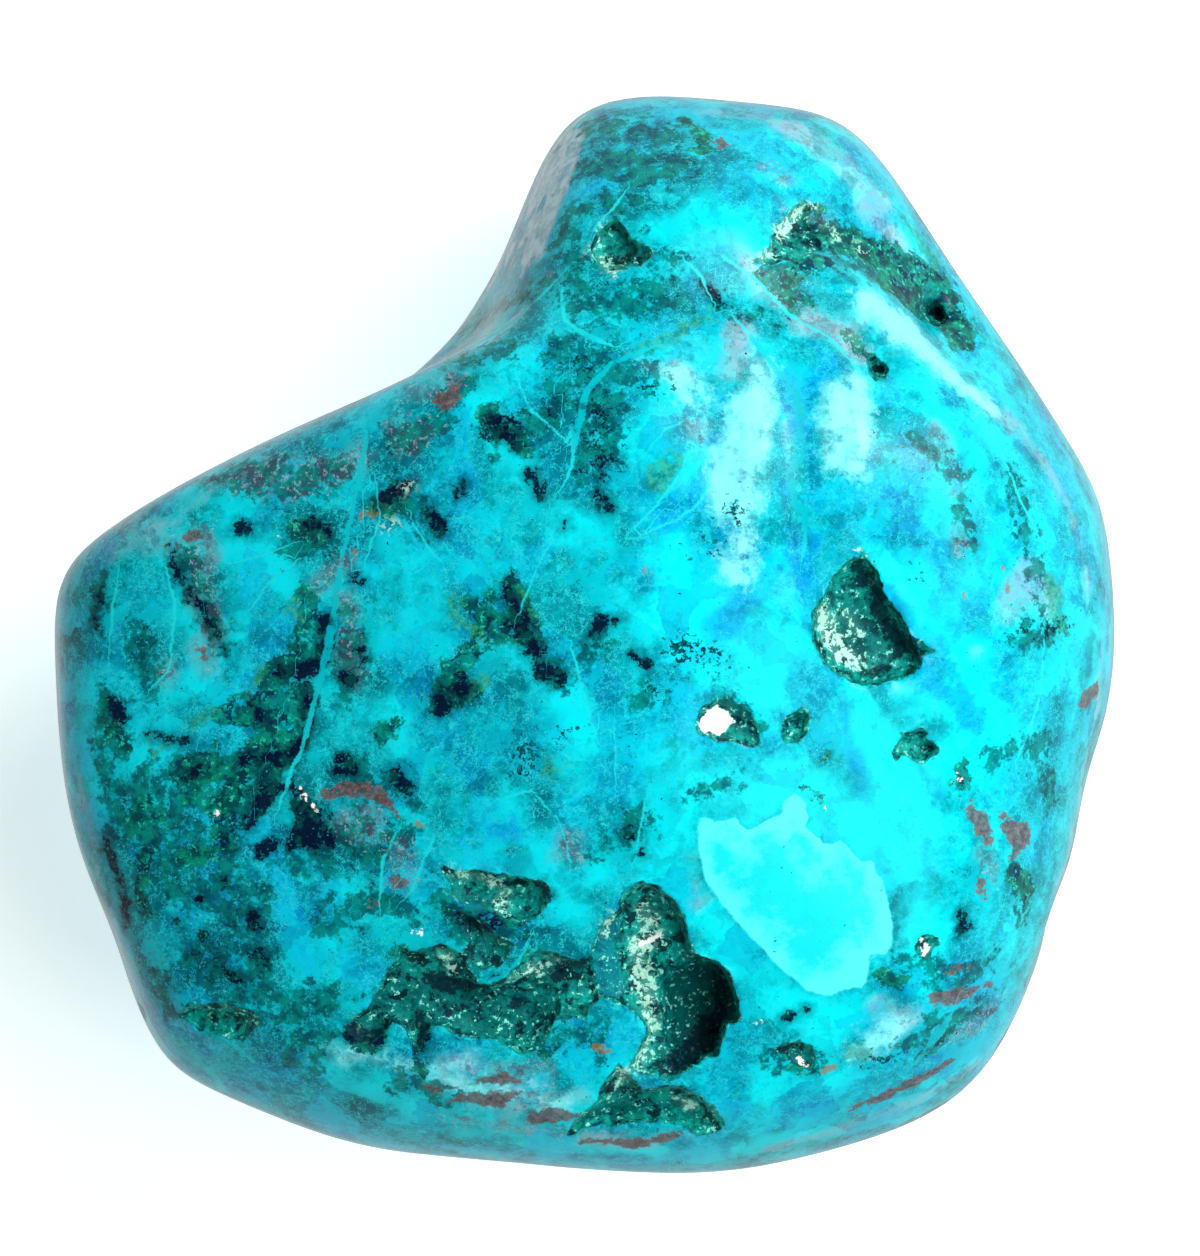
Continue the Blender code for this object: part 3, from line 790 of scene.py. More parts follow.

# %% Strokes of rust, gold and grey rock, and of lavender stone and painted reflection
RUST = (
    ((298, 526, 6), (318, 538, 5)),
    ((374, 510, 6), (392, 500, 5)),
    ((500, 420, 5), (510, 430, 4)),
    ((326, 796, 5), (345, 789, 8), (364, 788, 7), (384, 797, 7), (395, 812, 5)),
    ((188, 538, 5), (202, 534, 6)),
    ((436, 400, 6), (448, 402, 9), (456, 386, 6)),
    ((202, 652, 4), (206, 660, 4)),
    ((394, 880, 6), (402, 884, 5)),
    ((373, 902, 3), (374, 906, 3)),
    ((970, 806, 5), (980, 822, 9), (988, 838, 6)),
    ((1002, 816, 5), (1012, 832, 12), (1022, 836, 14), (1014, 856, 7)),
    ((980, 884, 5), (986, 898, 4)),
    ((1084, 700, 9), (1096, 690, 8)),
    ((476, 1084, 2), (494, 1079, 6), (506, 1078, 5), (520, 1083, 2)),
    ((448, 1102, 2), (470, 1097, 6), (496, 1101, 9), (512, 1096, 6), (532, 1094, 2)),
    ((514, 1110, 2), (536, 1118, 8), (552, 1114, 10), (572, 1116, 5), (598, 1108, 2)),
    ((420, 1086, 2), (434, 1090, 4), (446, 1088, 2)),
    ((578, 1142, 2), (606, 1140, 5), (634, 1145, 7), (664, 1138, 6), (688, 1134, 2)),
    ((846, 1112, 2), (872, 1100, 6), (902, 1088, 7), (928, 1074, 6), (952, 1060, 3)),
    ((918, 1004, 2), (936, 998, 6), (956, 997, 8), (976, 989, 5), (992, 984, 2)),
    ((943, 969, 3), (972, 965, 3)),
    ((720, 142, 7), (728, 148, 5)),
)
GOLD = (
    ((352, 550, 4), (354, 557, 4)),
    ((360, 513, 3), (359, 519, 3)),
    ((372, 512, 5), (392, 506, 5)),
    ((646, 570, 4), (648, 576, 3)),
    ((594, 1046, 4), (608, 1050, 4)),
    ((965, 595, 4), (966, 598, 3)),
    ((114, 720, 4), (116, 722, 3)),
    ((418, 824, 4), (428, 830, 3)),
    ((826, 1070, 4), (834, 1066, 3)),
    ((1004, 570, 3), (1008, 592, 3)),
)
GREY = (
    ((215, 478, 14), (250, 472, 20), (290, 478, 24), (330, 472, 16), (360, 456, 10)),
    ((176, 545, 10), (196, 535, 16), (204, 560, 12), (200, 600, 10), (214, 630, 10)),
    ((200, 650, 7), (208, 664, 7)),
    ((164, 664, 6), (168, 674, 6)),
    ((405, 392, 12), (430, 388, 18), (456, 380, 12)),
    ((400, 420, 12), (412, 445, 14), (430, 430, 10)),
    ((346, 818, 14), (366, 830, 18), (372, 812, 12)),
    ((398, 850, 12), (404, 872, 14)),
    ((732, 336, 8), (736, 356, 12)),
    ((935, 432, 6), (944, 450, 7)),
    ((954, 466, 5), (960, 488, 6)),
    ((960, 532, 4), (962, 552, 5)),
    ((768, 166, 9), (784, 178, 8)),
    ((566, 836, 6), (574, 858, 7)),
    ((345, 600, 8), (350, 660, 9), (358, 680, 8)),
    ((450, 1062, 8), (480, 1072, 12), (540, 1076, 14)),
    ((440, 1118, 8), (500, 1126, 9), (560, 1134, 7)),
    ((985, 862, 7), (996, 884, 6)),
    ((676, 368, 5), (690, 378, 4)),
    ((300, 600, 5), (345, 560, 6)),
    ((1000, 1000, 10), (980, 1020, 12), (950, 1040, 10)),
)
REFLECTION_AND_LAVENDER = (
    # Painted reflection on the rolled edge along the shoulder.
    ((548, 280, 5), (514, 319, 6), (484, 344, 6), (447, 356, 7), (370, 388, 8), (300, 418, 9)),
    ((290, 424, 10), (240, 446, 14), (200, 466, 16), (160, 492, 18), (124, 524, 18)),
    ((104, 548, 10), (140, 536, 14), (180, 520, 10), (206, 496, 8)),
    # Painted reflection on the lower rims.
    ((76, 760, 4), (92, 840, 5), (112, 920, 4), (140, 1006, 4)),
    ((460, 1084, 4), (500, 1088, 6), (545, 1098, 7), (580, 1094, 6)),
    ((470, 1104, 4), (520, 1108, 5)),
    ((585, 1140, 4), (640, 1142, 5), (690, 1134, 4)),
    ((770, 1150, 5), (840, 1128, 7), (920, 1098, 7), (980, 1060, 6)),
    ((1060, 880, 7), (1080, 800, 8), (1094, 720, 8), (1102, 640, 7)),
    # The right: painted reflection in pale bands beside the ridge, and on the neck's slope.
    ((980, 400, 10), (1020, 430, 12), (1050, 470, 10), (1080, 540, 9), (1088, 600, 8)),
    ((700, 110, 5), (760, 116, 12), (810, 135, 18), (850, 170, 18), (880, 200, 14)),
    ((865, 205, 12), (890, 235, 12), (905, 260, 8)),
    ((800, 322, 10), (835, 334, 14), (856, 352, 12)),
    ((742, 332, 10), (736, 350, 12), (728, 370, 8)),
    ((648, 366, 8), (680, 372, 10)),
    ((690, 860, 3), (700, 900, 3), (1030, 580, 14), (1050, 600, 12)),
    ((880, 1010, 10), (900, 1018, 10)),
    ((745, 268, 5), (770, 286, 7), (784, 300, 6)),
)
print("strokes of rust, gold, grey and lavender:", len(RUST), len(GOLD), len(GREY), len(REFLECTION_AND_LAVENDER))

# %% Strokes of pale, bright, deep and blue stone, and of painted highlights, light and shade
PALE_AND_HIGHLIGHT = (
    # Painted highlights: pale streaks along the flutes, a small rib and the ridge right of the neck.
    ((758, 366, 7), (758, 400, 11), (752, 440, 13), (748, 480, 11), (740, 512, 8)),
    ((736, 404, 6), (732, 444, 8), (728, 486, 8), (722, 516, 5)),
    ((742, 540, 14), (736, 566, 9)),
    ((840, 388, 7), (838, 424, 10), (834, 462, 7)),
    ((858, 384, 8), (862, 420, 11), (856, 466, 8)),
    ((676, 372, 7), (690, 384, 9), (692, 398, 7)),
    ((866, 300, 8), (900, 326, 15), (930, 352, 15), (960, 384, 13), (988, 406, 8)),
    # Pale streaks at the front and beside the hole on the neck.
    ((860, 1050, 6), (884, 1036, 7), (900, 1020, 5)),
    ((346, 1058, 5), (330, 1048, 3)),
    ((440, 1078, 4), (480, 1090, 6), (530, 1096, 6), (560, 1104, 5)),
    ((350, 1052, 3), (420, 1068, 4), (470, 1060, 3)),
    ((920, 272, 3), (936, 280, 3), (950, 296, 3)),
)
BRIGHT_AND_PAINTED_LIGHT = (
    # The smooth dome of the neck: bright cyan stone with a painted highlight.
    ((650, 222, 12), (690, 226, 20), (736, 226, 20), (756, 236, 12)),
    # Brighter cyan patches.
    ((340, 895, 10), (348, 930, 14), (342, 960, 10)),
    ((148, 752, 7), (180, 758, 6)),
    ((164, 722, 6), (170, 838, 8)),
    ((84, 720, 8), (90, 760, 10), (104, 800, 8)),
    ((380, 920, 10), (420, 900, 12)),
    ((490, 820, 18), (520, 830, 16), (470, 860, 10)),
    ((560, 700, 22), (600, 730, 20), (570, 760, 22)),
    ((670, 550, 20), (700, 590, 30), (650, 620, 26), (620, 600, 16)),
    ((560, 510, 14), (600, 530, 14)),
    ((560, 880, 20), (580, 920, 16), (600, 870, 12)),
    ((890, 560, 20), (940, 620, 24), (990, 560, 20)),
    ((760, 640, 30), (770, 690, 24)),
    ((860, 720, 30), (890, 820, 40), (930, 880, 30)),
    ((680, 780, 26), (660, 740, 16), (650, 880, 14), (690, 920, 12)),
    ((960, 700, 30), (1030, 740, 20), (950, 760, 20)),
    ((840, 1020, 22), (770, 1090, 20), (830, 1080, 18)),
    # Painted light along the lower rim, which tilts away from the windows.
    ((370, 1085, 12), (430, 1072, 12), (480, 1062, 8)),
    ((560, 1100, 9), (620, 1096, 9), (600, 1060, 12)),
    ((460, 1130, 8), (540, 1146, 7), (700, 1150, 8)),
    # Brighter cyan patches.
    ((930, 400, 14), (990, 440, 14), (930, 520, 14)),
    ((640, 440, 14), (690, 470, 14)),
    ((470, 400, 12), (520, 470, 12)),
    ((650, 800, 26), (680, 860, 22), (700, 900, 24), (740, 960, 24), (790, 1010, 24), (850, 1020, 20)),
    ((690, 800, 24), (740, 800, 28), (800, 790, 28), (860, 820, 30), (920, 880, 30), (920, 950, 28)),
    # Painted light along the lower rim, which tilts away from the windows.
    ((330, 1070, 16), (390, 1100, 16), (460, 1122, 14), (540, 1138, 12), (620, 1150, 10)),
    ((660, 1150, 10), (740, 1150, 14), (800, 1130, 16)),
    # Brighter cyan patches.
    ((180, 620, 14), (230, 640, 16), (250, 600, 16), (230, 560, 12)),
    ((160, 700, 12), (200, 690, 12)),
    ((390, 560, 18), (430, 600, 18), (400, 640, 16)),
    ((230, 520, 10), (260, 540, 14), (290, 580, 12)),
    ((350, 720, 14), (400, 700, 14), (400, 760, 14)),
)
DEEP_AND_SHADE = (
    # Painted shade along the step of the flat on the left edge, and down the cleft at the lower left
    # edge.
    ((96, 596, 12), (94, 632, 12)),
    ((124, 868, 6), (128, 900, 7), (130, 935, 6), (142, 975, 5)),
    # Darker teal at the neck's foot and on its roof.
    ((596, 300, 24), (640, 308, 28), (684, 308, 18)),
    ((590, 130, 26), (640, 160, 40), (700, 150, 26)),
    # Painted shade on the flank under the shoulder of the neck.
    ((540, 300, 16), (500, 330, 20)),
    # Darker teal patches.
    ((140, 620, 18), (150, 680, 20), (180, 720, 16)),
    ((215, 590, 12), (190, 640, 12)),
    ((410, 640, 12), (370, 700, 12)),
    ((600, 660, 12), (560, 650, 10)),
    ((610, 810, 16), (600, 850, 14)),
    ((690, 780, 10), (720, 800, 10)),
    ((240, 900, 40), (230, 980, 40), (300, 860, 30), (370, 850, 24)),
    ((430, 900, 16), (480, 930, 30), (530, 930, 16)),
    ((940, 1045, 16), (960, 1030, 20), (984, 1000, 18)),
    ((1060, 720, 12), (1050, 780, 16)),
    ((560, 420, 34), (620, 400, 26), (600, 460, 24)),
    ((130, 800, 34), (150, 880, 30), (190, 1000, 26), (280, 1050, 24)),
    ((820, 235, 12), (860, 255, 16), (900, 280, 18), (930, 300, 14), (950, 330, 12)),
    ((780, 270, 10), (800, 300, 10)),
    ((420, 400, 20), (400, 450, 22), (280, 480, 24)),
    ((350, 620, 14), (350, 670, 16)),
)
BLUE = (
    ((272, 845, 10), (283, 895, 10), (290, 935, 14), (310, 965, 14)),
    ((196, 900, 16), (236, 900, 20), (250, 950, 22), (205, 950, 14)),
    ((717, 400, 5), (714, 440, 7), (712, 478, 9), (694, 502, 13), (664, 520, 11)),
    ((786, 372, 7), (788, 420, 9), (786, 470, 10), (790, 515, 13), (796, 560, 13)),
    ((812, 540, 9), (806, 590, 10)),
    ((726, 622, 14), (744, 604, 12)),
    ((842, 706, 8), (850, 750, 11), (862, 790, 8)),
    ((816, 344, 10), (832, 362, 13), (815, 385, 9)),
    ((806, 1104, 9), (826, 1108, 9)),
    ((488, 828, 10), (510, 834, 12)),
    ((890, 500, 12), (912, 520, 10)),
    ((905, 440, 8), (915, 470, 9)),
    ((570, 335, 5), (592, 348, 7)),
    ((470, 905, 5), (484, 915, 5), (500, 930, 4)),
    ((560, 150, 8), (575, 180, 12), (600, 190, 8)),
    ((935, 650, 8), (960, 690, 8)),
    ((690, 98, 3), (740, 101, 4), (800, 105, 3)),
    ((720, 395, 6), (722, 440, 7), (716, 480, 8)),
    ((800, 400, 8), (806, 450, 9), (812, 500, 10)),
    ((890, 600, 6), (930, 680, 10), (980, 720, 8)),
    ((612, 925, 9), (603, 955, 14), (612, 985, 13)),
)
print("strokes of pale, bright, deep and blue:", len(PALE_AND_HIGHLIGHT), len(BRIGHT_AND_PAINTED_LIGHT), len(DEEP_AND_SHADE), len(BLUE))

# %% Strokes of crystals and of white
CREAM = (
    ((592, 252, 4), (602, 262, 6), (614, 272, 6), (622, 260, 4)),
    ((598, 240, 3), (602, 226, 3)),
    ((780, 236, 8), (788, 222, 10), (802, 208, 7), (812, 206, 3)),
    ((752, 262, 3), (762, 258, 5), (772, 250, 4)),
    ((834, 232, 4), (836, 240, 3)),
    ((858, 246, 3), (863, 254, 4)),
    ((640, 905, 5), (652, 920, 8), (648, 940, 12), (636, 944, 8)),
    ((640, 958, 9), (642, 980, 10), (648, 1004, 9), (652, 1024, 9), (646, 1042, 8), (640, 1058, 9)),
    ((632, 1070, 6), (622, 1076, 7), (616, 1086, 4)),
    ((822, 610, 8), (828, 630, 13), (840, 650, 13), (858, 662, 9)),
    ((846, 616, 6), (858, 634, 6)),
    ((404, 490, 4), (412, 486, 4)),
    ((386, 528, 5), (396, 524, 5)),
    ((444, 952, 5), (450, 966, 6)),
    ((452, 872, 4), (476, 876, 5), (500, 884, 4)),
    ((500, 908, 5), (504, 890, 5)),
    ((512, 978, 5), (540, 966, 5), (560, 958, 4)),
    ((604, 934, 4), (612, 914, 4)),
    ((690, 1104, 7), (680, 1098, 5)),
)
WHITE = (
    ((704, 726, 7), (713, 715, 10), (722, 718, 11), (716, 727, 9)),
    ((296, 784, 1.5), (305, 795, 3), (316, 810, 1.5)),
    ((413, 931, 2), (424, 932, 3)),
    ((921, 940, 2), (926, 948, 3), (924, 954, 2)),
    ((805, 1066, 2), (799, 1058, 3)),
    ((824, 806, 2), (825, 808, 2)),
    ((959, 774, 3), (960, 779, 3)),
    ((216, 816, 2), (220, 812, 2)),
    ((640, 944, 2), (650, 940, 3), (660, 936, 2)),
    ((854, 548, 2), (856, 550, 2)),
    ((757, 1023, 1.5), (761, 1022, 2)),
    ((276, 535, 1.6), (282, 537, 1.6)),
)
print("strokes of crystals:", len(CREAM), "of white:", len(WHITE))

# %% Strokes along veins, and one painted highlight
VEINS_AND_HIGHLIGHT = (
    # The long vein on the left, the one from the neck's foot, and the threads between the flutes.
    ((374, 395, 2), (366, 440, 3), (358, 484, 3), (350, 520, 3), (340, 568, 3), (329, 644, 4),
     (318, 690, 3), (302, 747, 2.5), (290, 775, 2), (280, 805, 1.5)),
    ((645, 350, 3), (611, 364, 4), (587, 391, 5), (582, 415, 4), (574, 442, 3), (572, 469, 2),
     (560, 492, 1)),
    ((516, 372, 1), (520, 388, 1.5), (531, 410, 1.5), (550, 426, 1.5), (570, 446, 1)),
    ((735, 318, 2), (754, 340, 3), (778, 372, 3), (796, 394, 4), (799, 420, 4), (805, 452, 3),
     (790, 474, 4), (792, 501, 4), (807, 514, 4), (803, 556, 2)),
    ((562, 290, 1), (564, 320, 2), (590, 338, 3), (612, 345, 2)),
    ((692, 447, 1), (675, 482, 1.5), (651, 511, 1.5), (630, 533, 1)),
    ((709, 471, 1), (705, 498, 1.5), (681, 517, 1.5), (640, 536, 1)),
    ((614, 722, 1), (615, 750, 1), (616, 784, 1)),
    ((648, 792, 1), (640, 828, 1), (635, 860, 1)),
    ((396, 832, 1), (383, 862, 2), (380, 898, 2)),
    ((440, 826, 1), (424, 860, 2), (414, 886, 2), (404, 900, 1)),
    ((572, 650, 1), (586, 700, 1.4), (596, 740, 1)),
    ((440, 560, 1), (425, 545, 1.2), (412, 520, 1)),
    ((290, 545, 1), (264, 556, 1.2), (240, 560, 1)),
    ((300, 560, 1), (270, 580, 1.2), (250, 610, 1)),
    ((150, 690, 1), (170, 668, 1.2), (175, 600, 2), (166, 570, 1)),
    ((120, 560, 1), (112, 620, 1.5), (108, 660, 1)),
    ((376, 484, 1), (380, 520, 1.2), (366, 560, 1)),
    ((520, 610, 1), (540, 560, 1), (552, 540, 1)),
    ((640, 460, 1), (664, 430, 1), (690, 418, 1.2)),
    ((570, 860, 1), (560, 820, 1.2), (530, 790, 1), (500, 800, 1)),
    ((470, 975, 3), (486, 984, 5), (504, 978, 4), (522, 958, 3), (530, 940, 2)),
    ((1018, 760, 1), (1040, 700, 2), (1044, 640, 1)),
    ((926, 1050, 4), (938, 1036, 5), (948, 1018, 3)),
    ((914, 1064, 3), (928, 1048, 4), (934, 1030, 3)),
    ((990, 430, 1), (1020, 500, 2), (1050, 560, 1)),
    ((608, 248, 2), (594, 230, 2), (620, 200, 1.4), (626, 190, 1)),
    ((688, 262, 2), (704, 280, 2), (712, 300, 1)),
    # A painted highlight: the thin bright line along the rolled edge of the shoulder.
    ((444, 358, 2), (470, 347, 3), (500, 331, 3.5), (530, 306, 3), (552, 284, 2)),
    ((724, 258, 2), (752, 276, 2.5), (790, 314, 2), (826, 336, 2), (850, 360, 1.5), (872, 382, 1.5)),
)
print("veins:", len(VEINS_AND_HIGHLIGHT))

# %% [markdown]
# ## From strokes to fields
# Each spot's place on the skin comes from a ray, and its half width from how much a pixel covers
# there. The distance is measured through the stone, not across the picture, so a stroke near an
# edge wraps round it and isn't smeared down the side.

# %% Sight lines
skin_tree = BVHTree.FromPolygons(
    [vertex.co for vertex in stone.data.vertices], [face.vertices for face in stone.data.polygons]
)


def on_skin(across, down):
    """The place on the stone that the eye sees there, and what a pixel covers at that height."""
    sight = Vector(((across - PICTURE[0] / 2) * SPREAD, (PICTURE[1] / 2 - down) * SPREAD, -1))
    place = skin_tree.ray_cast(EYE, sight.normalized())[0]
    if place is None:
        place = skin_tree.find_nearest(EYE + sight * (EYE.z - WAIST))[0]
    return place, SPREAD * (EYE.z - place.z)


def placed(stroke):
    """A stroke as rows of x, y, z and half width, in millimetres."""
    spots = []
    for across, down, half in stroke:
        place, pixel = on_skin(across, down)
        spots.append((*(place / MM), half * pixel / MM))
    return np.array(spots)


print("a pixel in the middle covers, mm:", round(on_skin(PICTURE[0] / 2, PICTURE[1] / 2)[1] / MM, 4))

# %% Every vertex in rows, and how steep the skin is there
STEEP_FROM = 0.45  # skin whose normal looks up by less than this begins to count as steep
STEEP_SPAN = 0.35  # and by so much less than that, it's fully steep


def rows_of(name):
    rows = np.empty(len(stone.data.vertices) * 3)
    stone.data.vertices.foreach_get(name, rows)
    return rows.reshape(-1, 3)


corners = rows_of("co") / MM
normals = rows_of("normal")
steep = np.clip((STEEP_FROM - normals[:, 2]) / STEEP_SPAN, 0, 1)
print("vertices:", len(corners), "steep:", round(100 * float(steep.mean())), "%")

# %% How deep each vertex lies in a stroke
def along_run(points, start, end):
    """The run, the share of it that each point has passed, and how each point lies off it."""
    run = end[:3] - start[:3]
    share = np.clip((points - start[:3]) @ run / max(run @ run, 1e-9), 0, 1)
    off = points - start[:3] - share[:, None] * run
    return run, share, off


def stroke_field(points, spots):
    """How deep each point lies inside a stroke, in millimetres; negative outside it."""
    deepest = np.full(len(points), OUTSIDE)
    if len(spots) == 1:
        spots = np.repeat(spots, 2, axis=0)
    for start, end in zip(spots[:-1], spots[1:]):
        _, share, off = along_run(points, start, end)
        half = start[3] + share * (end[3] - start[3])
        deepest = np.maximum(deepest, half - np.linalg.norm(off, axis=1))
    return deepest


def deepest_of(rows):
    """How deep each vertex lies inside the nearest of some strokes."""
    deepest = np.full(len(corners), OUTSIDE)
    for row in rows:
        if len(row):
            deepest = np.maximum(deepest, stroke_field(corners, row))
    return deepest


def keep_field(name, field):
    stone.data.attributes.new(name, "FLOAT", "POINT").data.foreach_set("value", field)


example = deepest_of([placed(GREEN[0])])
print("vertices in the first green stroke:", int((example > 0).sum()))

# %% Clouds for every vertex
CLOUD_FADE = 0.9  # how much weaker each finer octave is, as a power
CLOUD_STEP = 2.1  # how much finer each octave is
CLOUD_OCTAVES = 4


def clouds(size, shift):
    """Clouds about as wide as the size, in mm, for every vertex, from -1 to 1."""
    offset = Vector((shift, shift * 0.7, -shift))
    return np.array([
        noise.fractal(Vector(p) / size + offset, CLOUD_FADE, CLOUD_STEP, CLOUD_OCTAVES) for p in corners
    ])


wide_clouds = clouds(9.0, 3)
soft_clouds = clouds(3.2, 11)
fine_clouds = clouds(1.5, 19)
ragged_clouds = soft_clouds + fine_clouds
print("clouds spread by:", round(float(wide_clouds.std()), 2), round(float(ragged_clouds.std()), 2))

# %% [markdown]
# ## The sides and the underside
# The same kinds of patch go round the whole stone. Where the eye above doesn't reach, strokes are
# drawn at random, from a fixed seed so that the stone is the same each time. A random stroke
# starts where a ray from the stone's middle leaves it, and wanders over the skin. The clouds make
# its outline ragged, and do the same for a drawn stroke where it runs down a steep side.

# %% Random strokes for what faces sideways or down
MIDDLE = Vector((2, 0, 15)) * MM
UNSEEN_FACING = 0.12  # a random stroke keeps to skin whose normal looks up by less than this
START_RISES = (-1.0, 0.25)  # from straight down to a little above level
WANDER = 2.0  # how far apart a random stroke's spots are, in mm
TURNS_BY = 0.7  # how much it may turn at each spot
SEED = 41
chance = random.Random(SEED)


def random_way(low_rise, high_rise):
    rise = chance.uniform(low_rise, high_rise)
    turn = chance.uniform(0, math.tau)
    level = math.sqrt(1 - rise * rise)
    return Vector((level * math.cos(turn), level * math.sin(turn), rise))


def random_stroke(half_widths, longest):
    """A row of spots on the skin, out of sight of the eye above, as x, y, z and half width in mm."""
    place, normal, _, _ = skin_tree.ray_cast(MIDDLE, random_way(*START_RISES))
    heading = random_way(-1, 1)
    spots = []
    for _ in range(chance.randint(1, longest)):
        if normal.z > UNSEEN_FACING:
            break
        spots.append((*(place / MM), chance.uniform(*half_widths)))
        heading = (heading + random_way(-1, 1) * TURNS_BY).normalized()
        step = heading - normal * heading.dot(normal)
        place, normal, _, _ = skin_tree.find_nearest(place + step * WANDER * MM)
    return np.array(spots)


print("random strokes wander in steps of", WANDER, "mm")

# %% A field for each kind
KINDS = {
    # kind: (strokes, how many random ones, their half widths in mm, their most spots)
    "green": (GREEN, 36, (0.5, 2.2), 5),
    "moss_and_shade": (MOSS_AND_SHADE, 30, (1.0, 2.6), 4),
    "olive": (OLIVE, 6, (0.3, 0.8), 2),
    "black_and_shade": (BLACK_AND_SHADE, 60, (0.25, 0.8), 3),
    "specks": (SPECKS, 24, (0.5, 1.6), 3),
    "rust": (RUST, 20, (0.3, 1.0), 4),
    "gold": (GOLD, 5, (0.2, 0.4), 1),
    "grey": (GREY, 18, (0.5, 1.7), 4),
    "reflection_and_lavender": (REFLECTION_AND_LAVENDER, 8, (0.5, 1.2), 3),
    "pale_and_highlight": (PALE_AND_HIGHLIGHT, 12, (0.5, 1.6), 3),
    "bright_and_painted_light": (BRIGHT_AND_PAINTED_LIGHT, 16, (1.0, 3.0), 3),
    "deep": (DEEP_AND_SHADE, 24, (1.0, 3.0), 3),
    "blue": (BLUE, 18, (0.5, 1.4), 4),
    "cream": (CREAM, 10, (0.3, 0.7), 2),
    "white": (WHITE, 4, (0.2, 0.4), 2),
}
RANDOM_RAGGED = 1.3  # how much the clouds change the outline of a random stroke, in mm
DRAWN_RAGGED = 1.1  # the same for a drawn stroke where it runs down a steep side

fields = {}
for kind, (strokes, count, half_widths, longest) in KINDS.items():
    drawn = deepest_of([placed(stroke) for stroke in strokes])
    drawn += DRAWN_RAGGED * steep * ragged_clouds
    unseen = deepest_of([random_stroke(half_widths, longest) for _ in range(count)])
    unseen += RANDOM_RAGGED * ragged_clouds
    fields[kind] = np.maximum(drawn, unseen)
    keep_field(kind, fields[kind])
    print(kind, "covers", round(100 * float((fields[kind] > 0).mean()), 1), "% of the vertices")

# %% [markdown]
# ## Two patches with an outline
# A splinter of pale stone broke off elsewhere and healed in here, so it has an edge as crisp as
# broken glass, and the neck's left face carries a painted reflection, pale up to a line. Strokes
# would round both off, so each has an outline, as the mouths do. Towards its upper right the
# splinter melts into the stone, so clouds eat into its outline there. Low down, the painted
# reflection thins out in the same way.

# %% The pale splinter and the painted reflection on the neck's face
SPLINTER = (
    (698, 816), (711, 818), (722, 832), (745, 826), (770, 818), (794, 808), (810, 812), (823, 823),
    (820, 845), (854, 845), (879, 859), (886, 893), (893, 922), (893, 944), (888, 955), (871, 954),
    (867, 988), (850, 987), (828, 997), (806, 990), (777, 966), (757, 944), (728, 913), (704, 879),
    (698, 850),
)
PAINTED_REFLECTION_FACE = (
    (530, 100), (592, 100), (586, 130), (580, 152), (568, 190), (552, 230), (543, 256), (520, 272),
    (497, 284), (470, 292), (466, 270), (478, 240), (490, 205), (502, 170), (514, 140),
)
SPLINTER_TIP = 716  # left of this, in pixels across, the splinter's outline stays whole
SPLINTER_WHOLE = 890  # and below this, in pixels down
SPLINTER_FADE = 60  # over how many pixels the clouds set in above that
SPLINTER_EATEN = (0.35, 1.6)  # how far the outline draws back, and how far clouds push it, in mm
REFLECTION_FOOT = 4  # the painted reflection stops at this height, in mm
REFLECTION_FADES_AT = 15  # and begins to thin out below this one,
REFLECTION_FADES_BY = 4  # which clouds shift by about so much,
REFLECTION_FADE = 5  # over so many mm, by as much as its field drops there
REFLECTION_DEEPEST = 1.5
REFLECTION_EATEN = (-0.9, 2.4)  # the same as for the splinter, where the face is steep
spots, pixel = seen_at(corners * MM)


def outline_field(outline, lowest):
    """How deep each vertex lies in an outline, in mm, down to a height of the stone."""
    inside = np.where(corners[:, 2] > lowest, inside_by(spots, outline) * pixel / MM, OUTSIDE)
    return np.maximum(inside, OUTSIDE)


melting = np.clip((SPLINTER_WHOLE - spots[:, 1]) / SPLINTER_FADE, 0, 1) * (spots[:, 0] > SPLINTER_TIP)
eaten = melting * (SPLINTER_EATEN[0] + SPLINTER_EATEN[1] * ragged_clouds)
keep_field("splinter", outline_field(SPLINTER, WAIST / MM) - eaten)
fades_at = REFLECTION_FADES_AT + REFLECTION_FADES_BY * wide_clouds
low_down = np.clip((fades_at - corners[:, 2]) / REFLECTION_FADE, 0, 1)
painted_reflection_field = np.minimum(outline_field(PAINTED_REFLECTION_FACE, REFLECTION_FOOT) - REFLECTION_FADE * low_down, REFLECTION_DEEPEST)
painted_reflection_field += steep * (REFLECTION_EATEN[0] + REFLECTION_EATEN[1] * ragged_clouds)
keep_field("painted_reflection", painted_reflection_field)
print("chalk covers", round(100 * float((painted_reflection_field > 0).mean()), 1), "% of the vertices")

# %% [markdown]
# ## Veins
# A vein is thinner than a face of the mesh, so a plain distance to it would be blurred away
# between the vertices. A distance that has a side isn't: it runs straight through zero where the
# vein lies. So each vertex keeps how far to the side of the nearest vein it lies, out to a reach,
# and how wide that vein is there.

# %% How far to the side of a vein each vertex lies
VEIN_REACH = 1.6  # how far from a vein its fields go, in mm
RANDOM_VEINS = 26
RANDOM_VEIN_HALF = (0.05, 0.16)  # in mm
RANDOM_VEIN_SPOTS = 7  # at most
side = np.full(len(corners), VEIN_REACH)
width = np.zeros(len(corners))
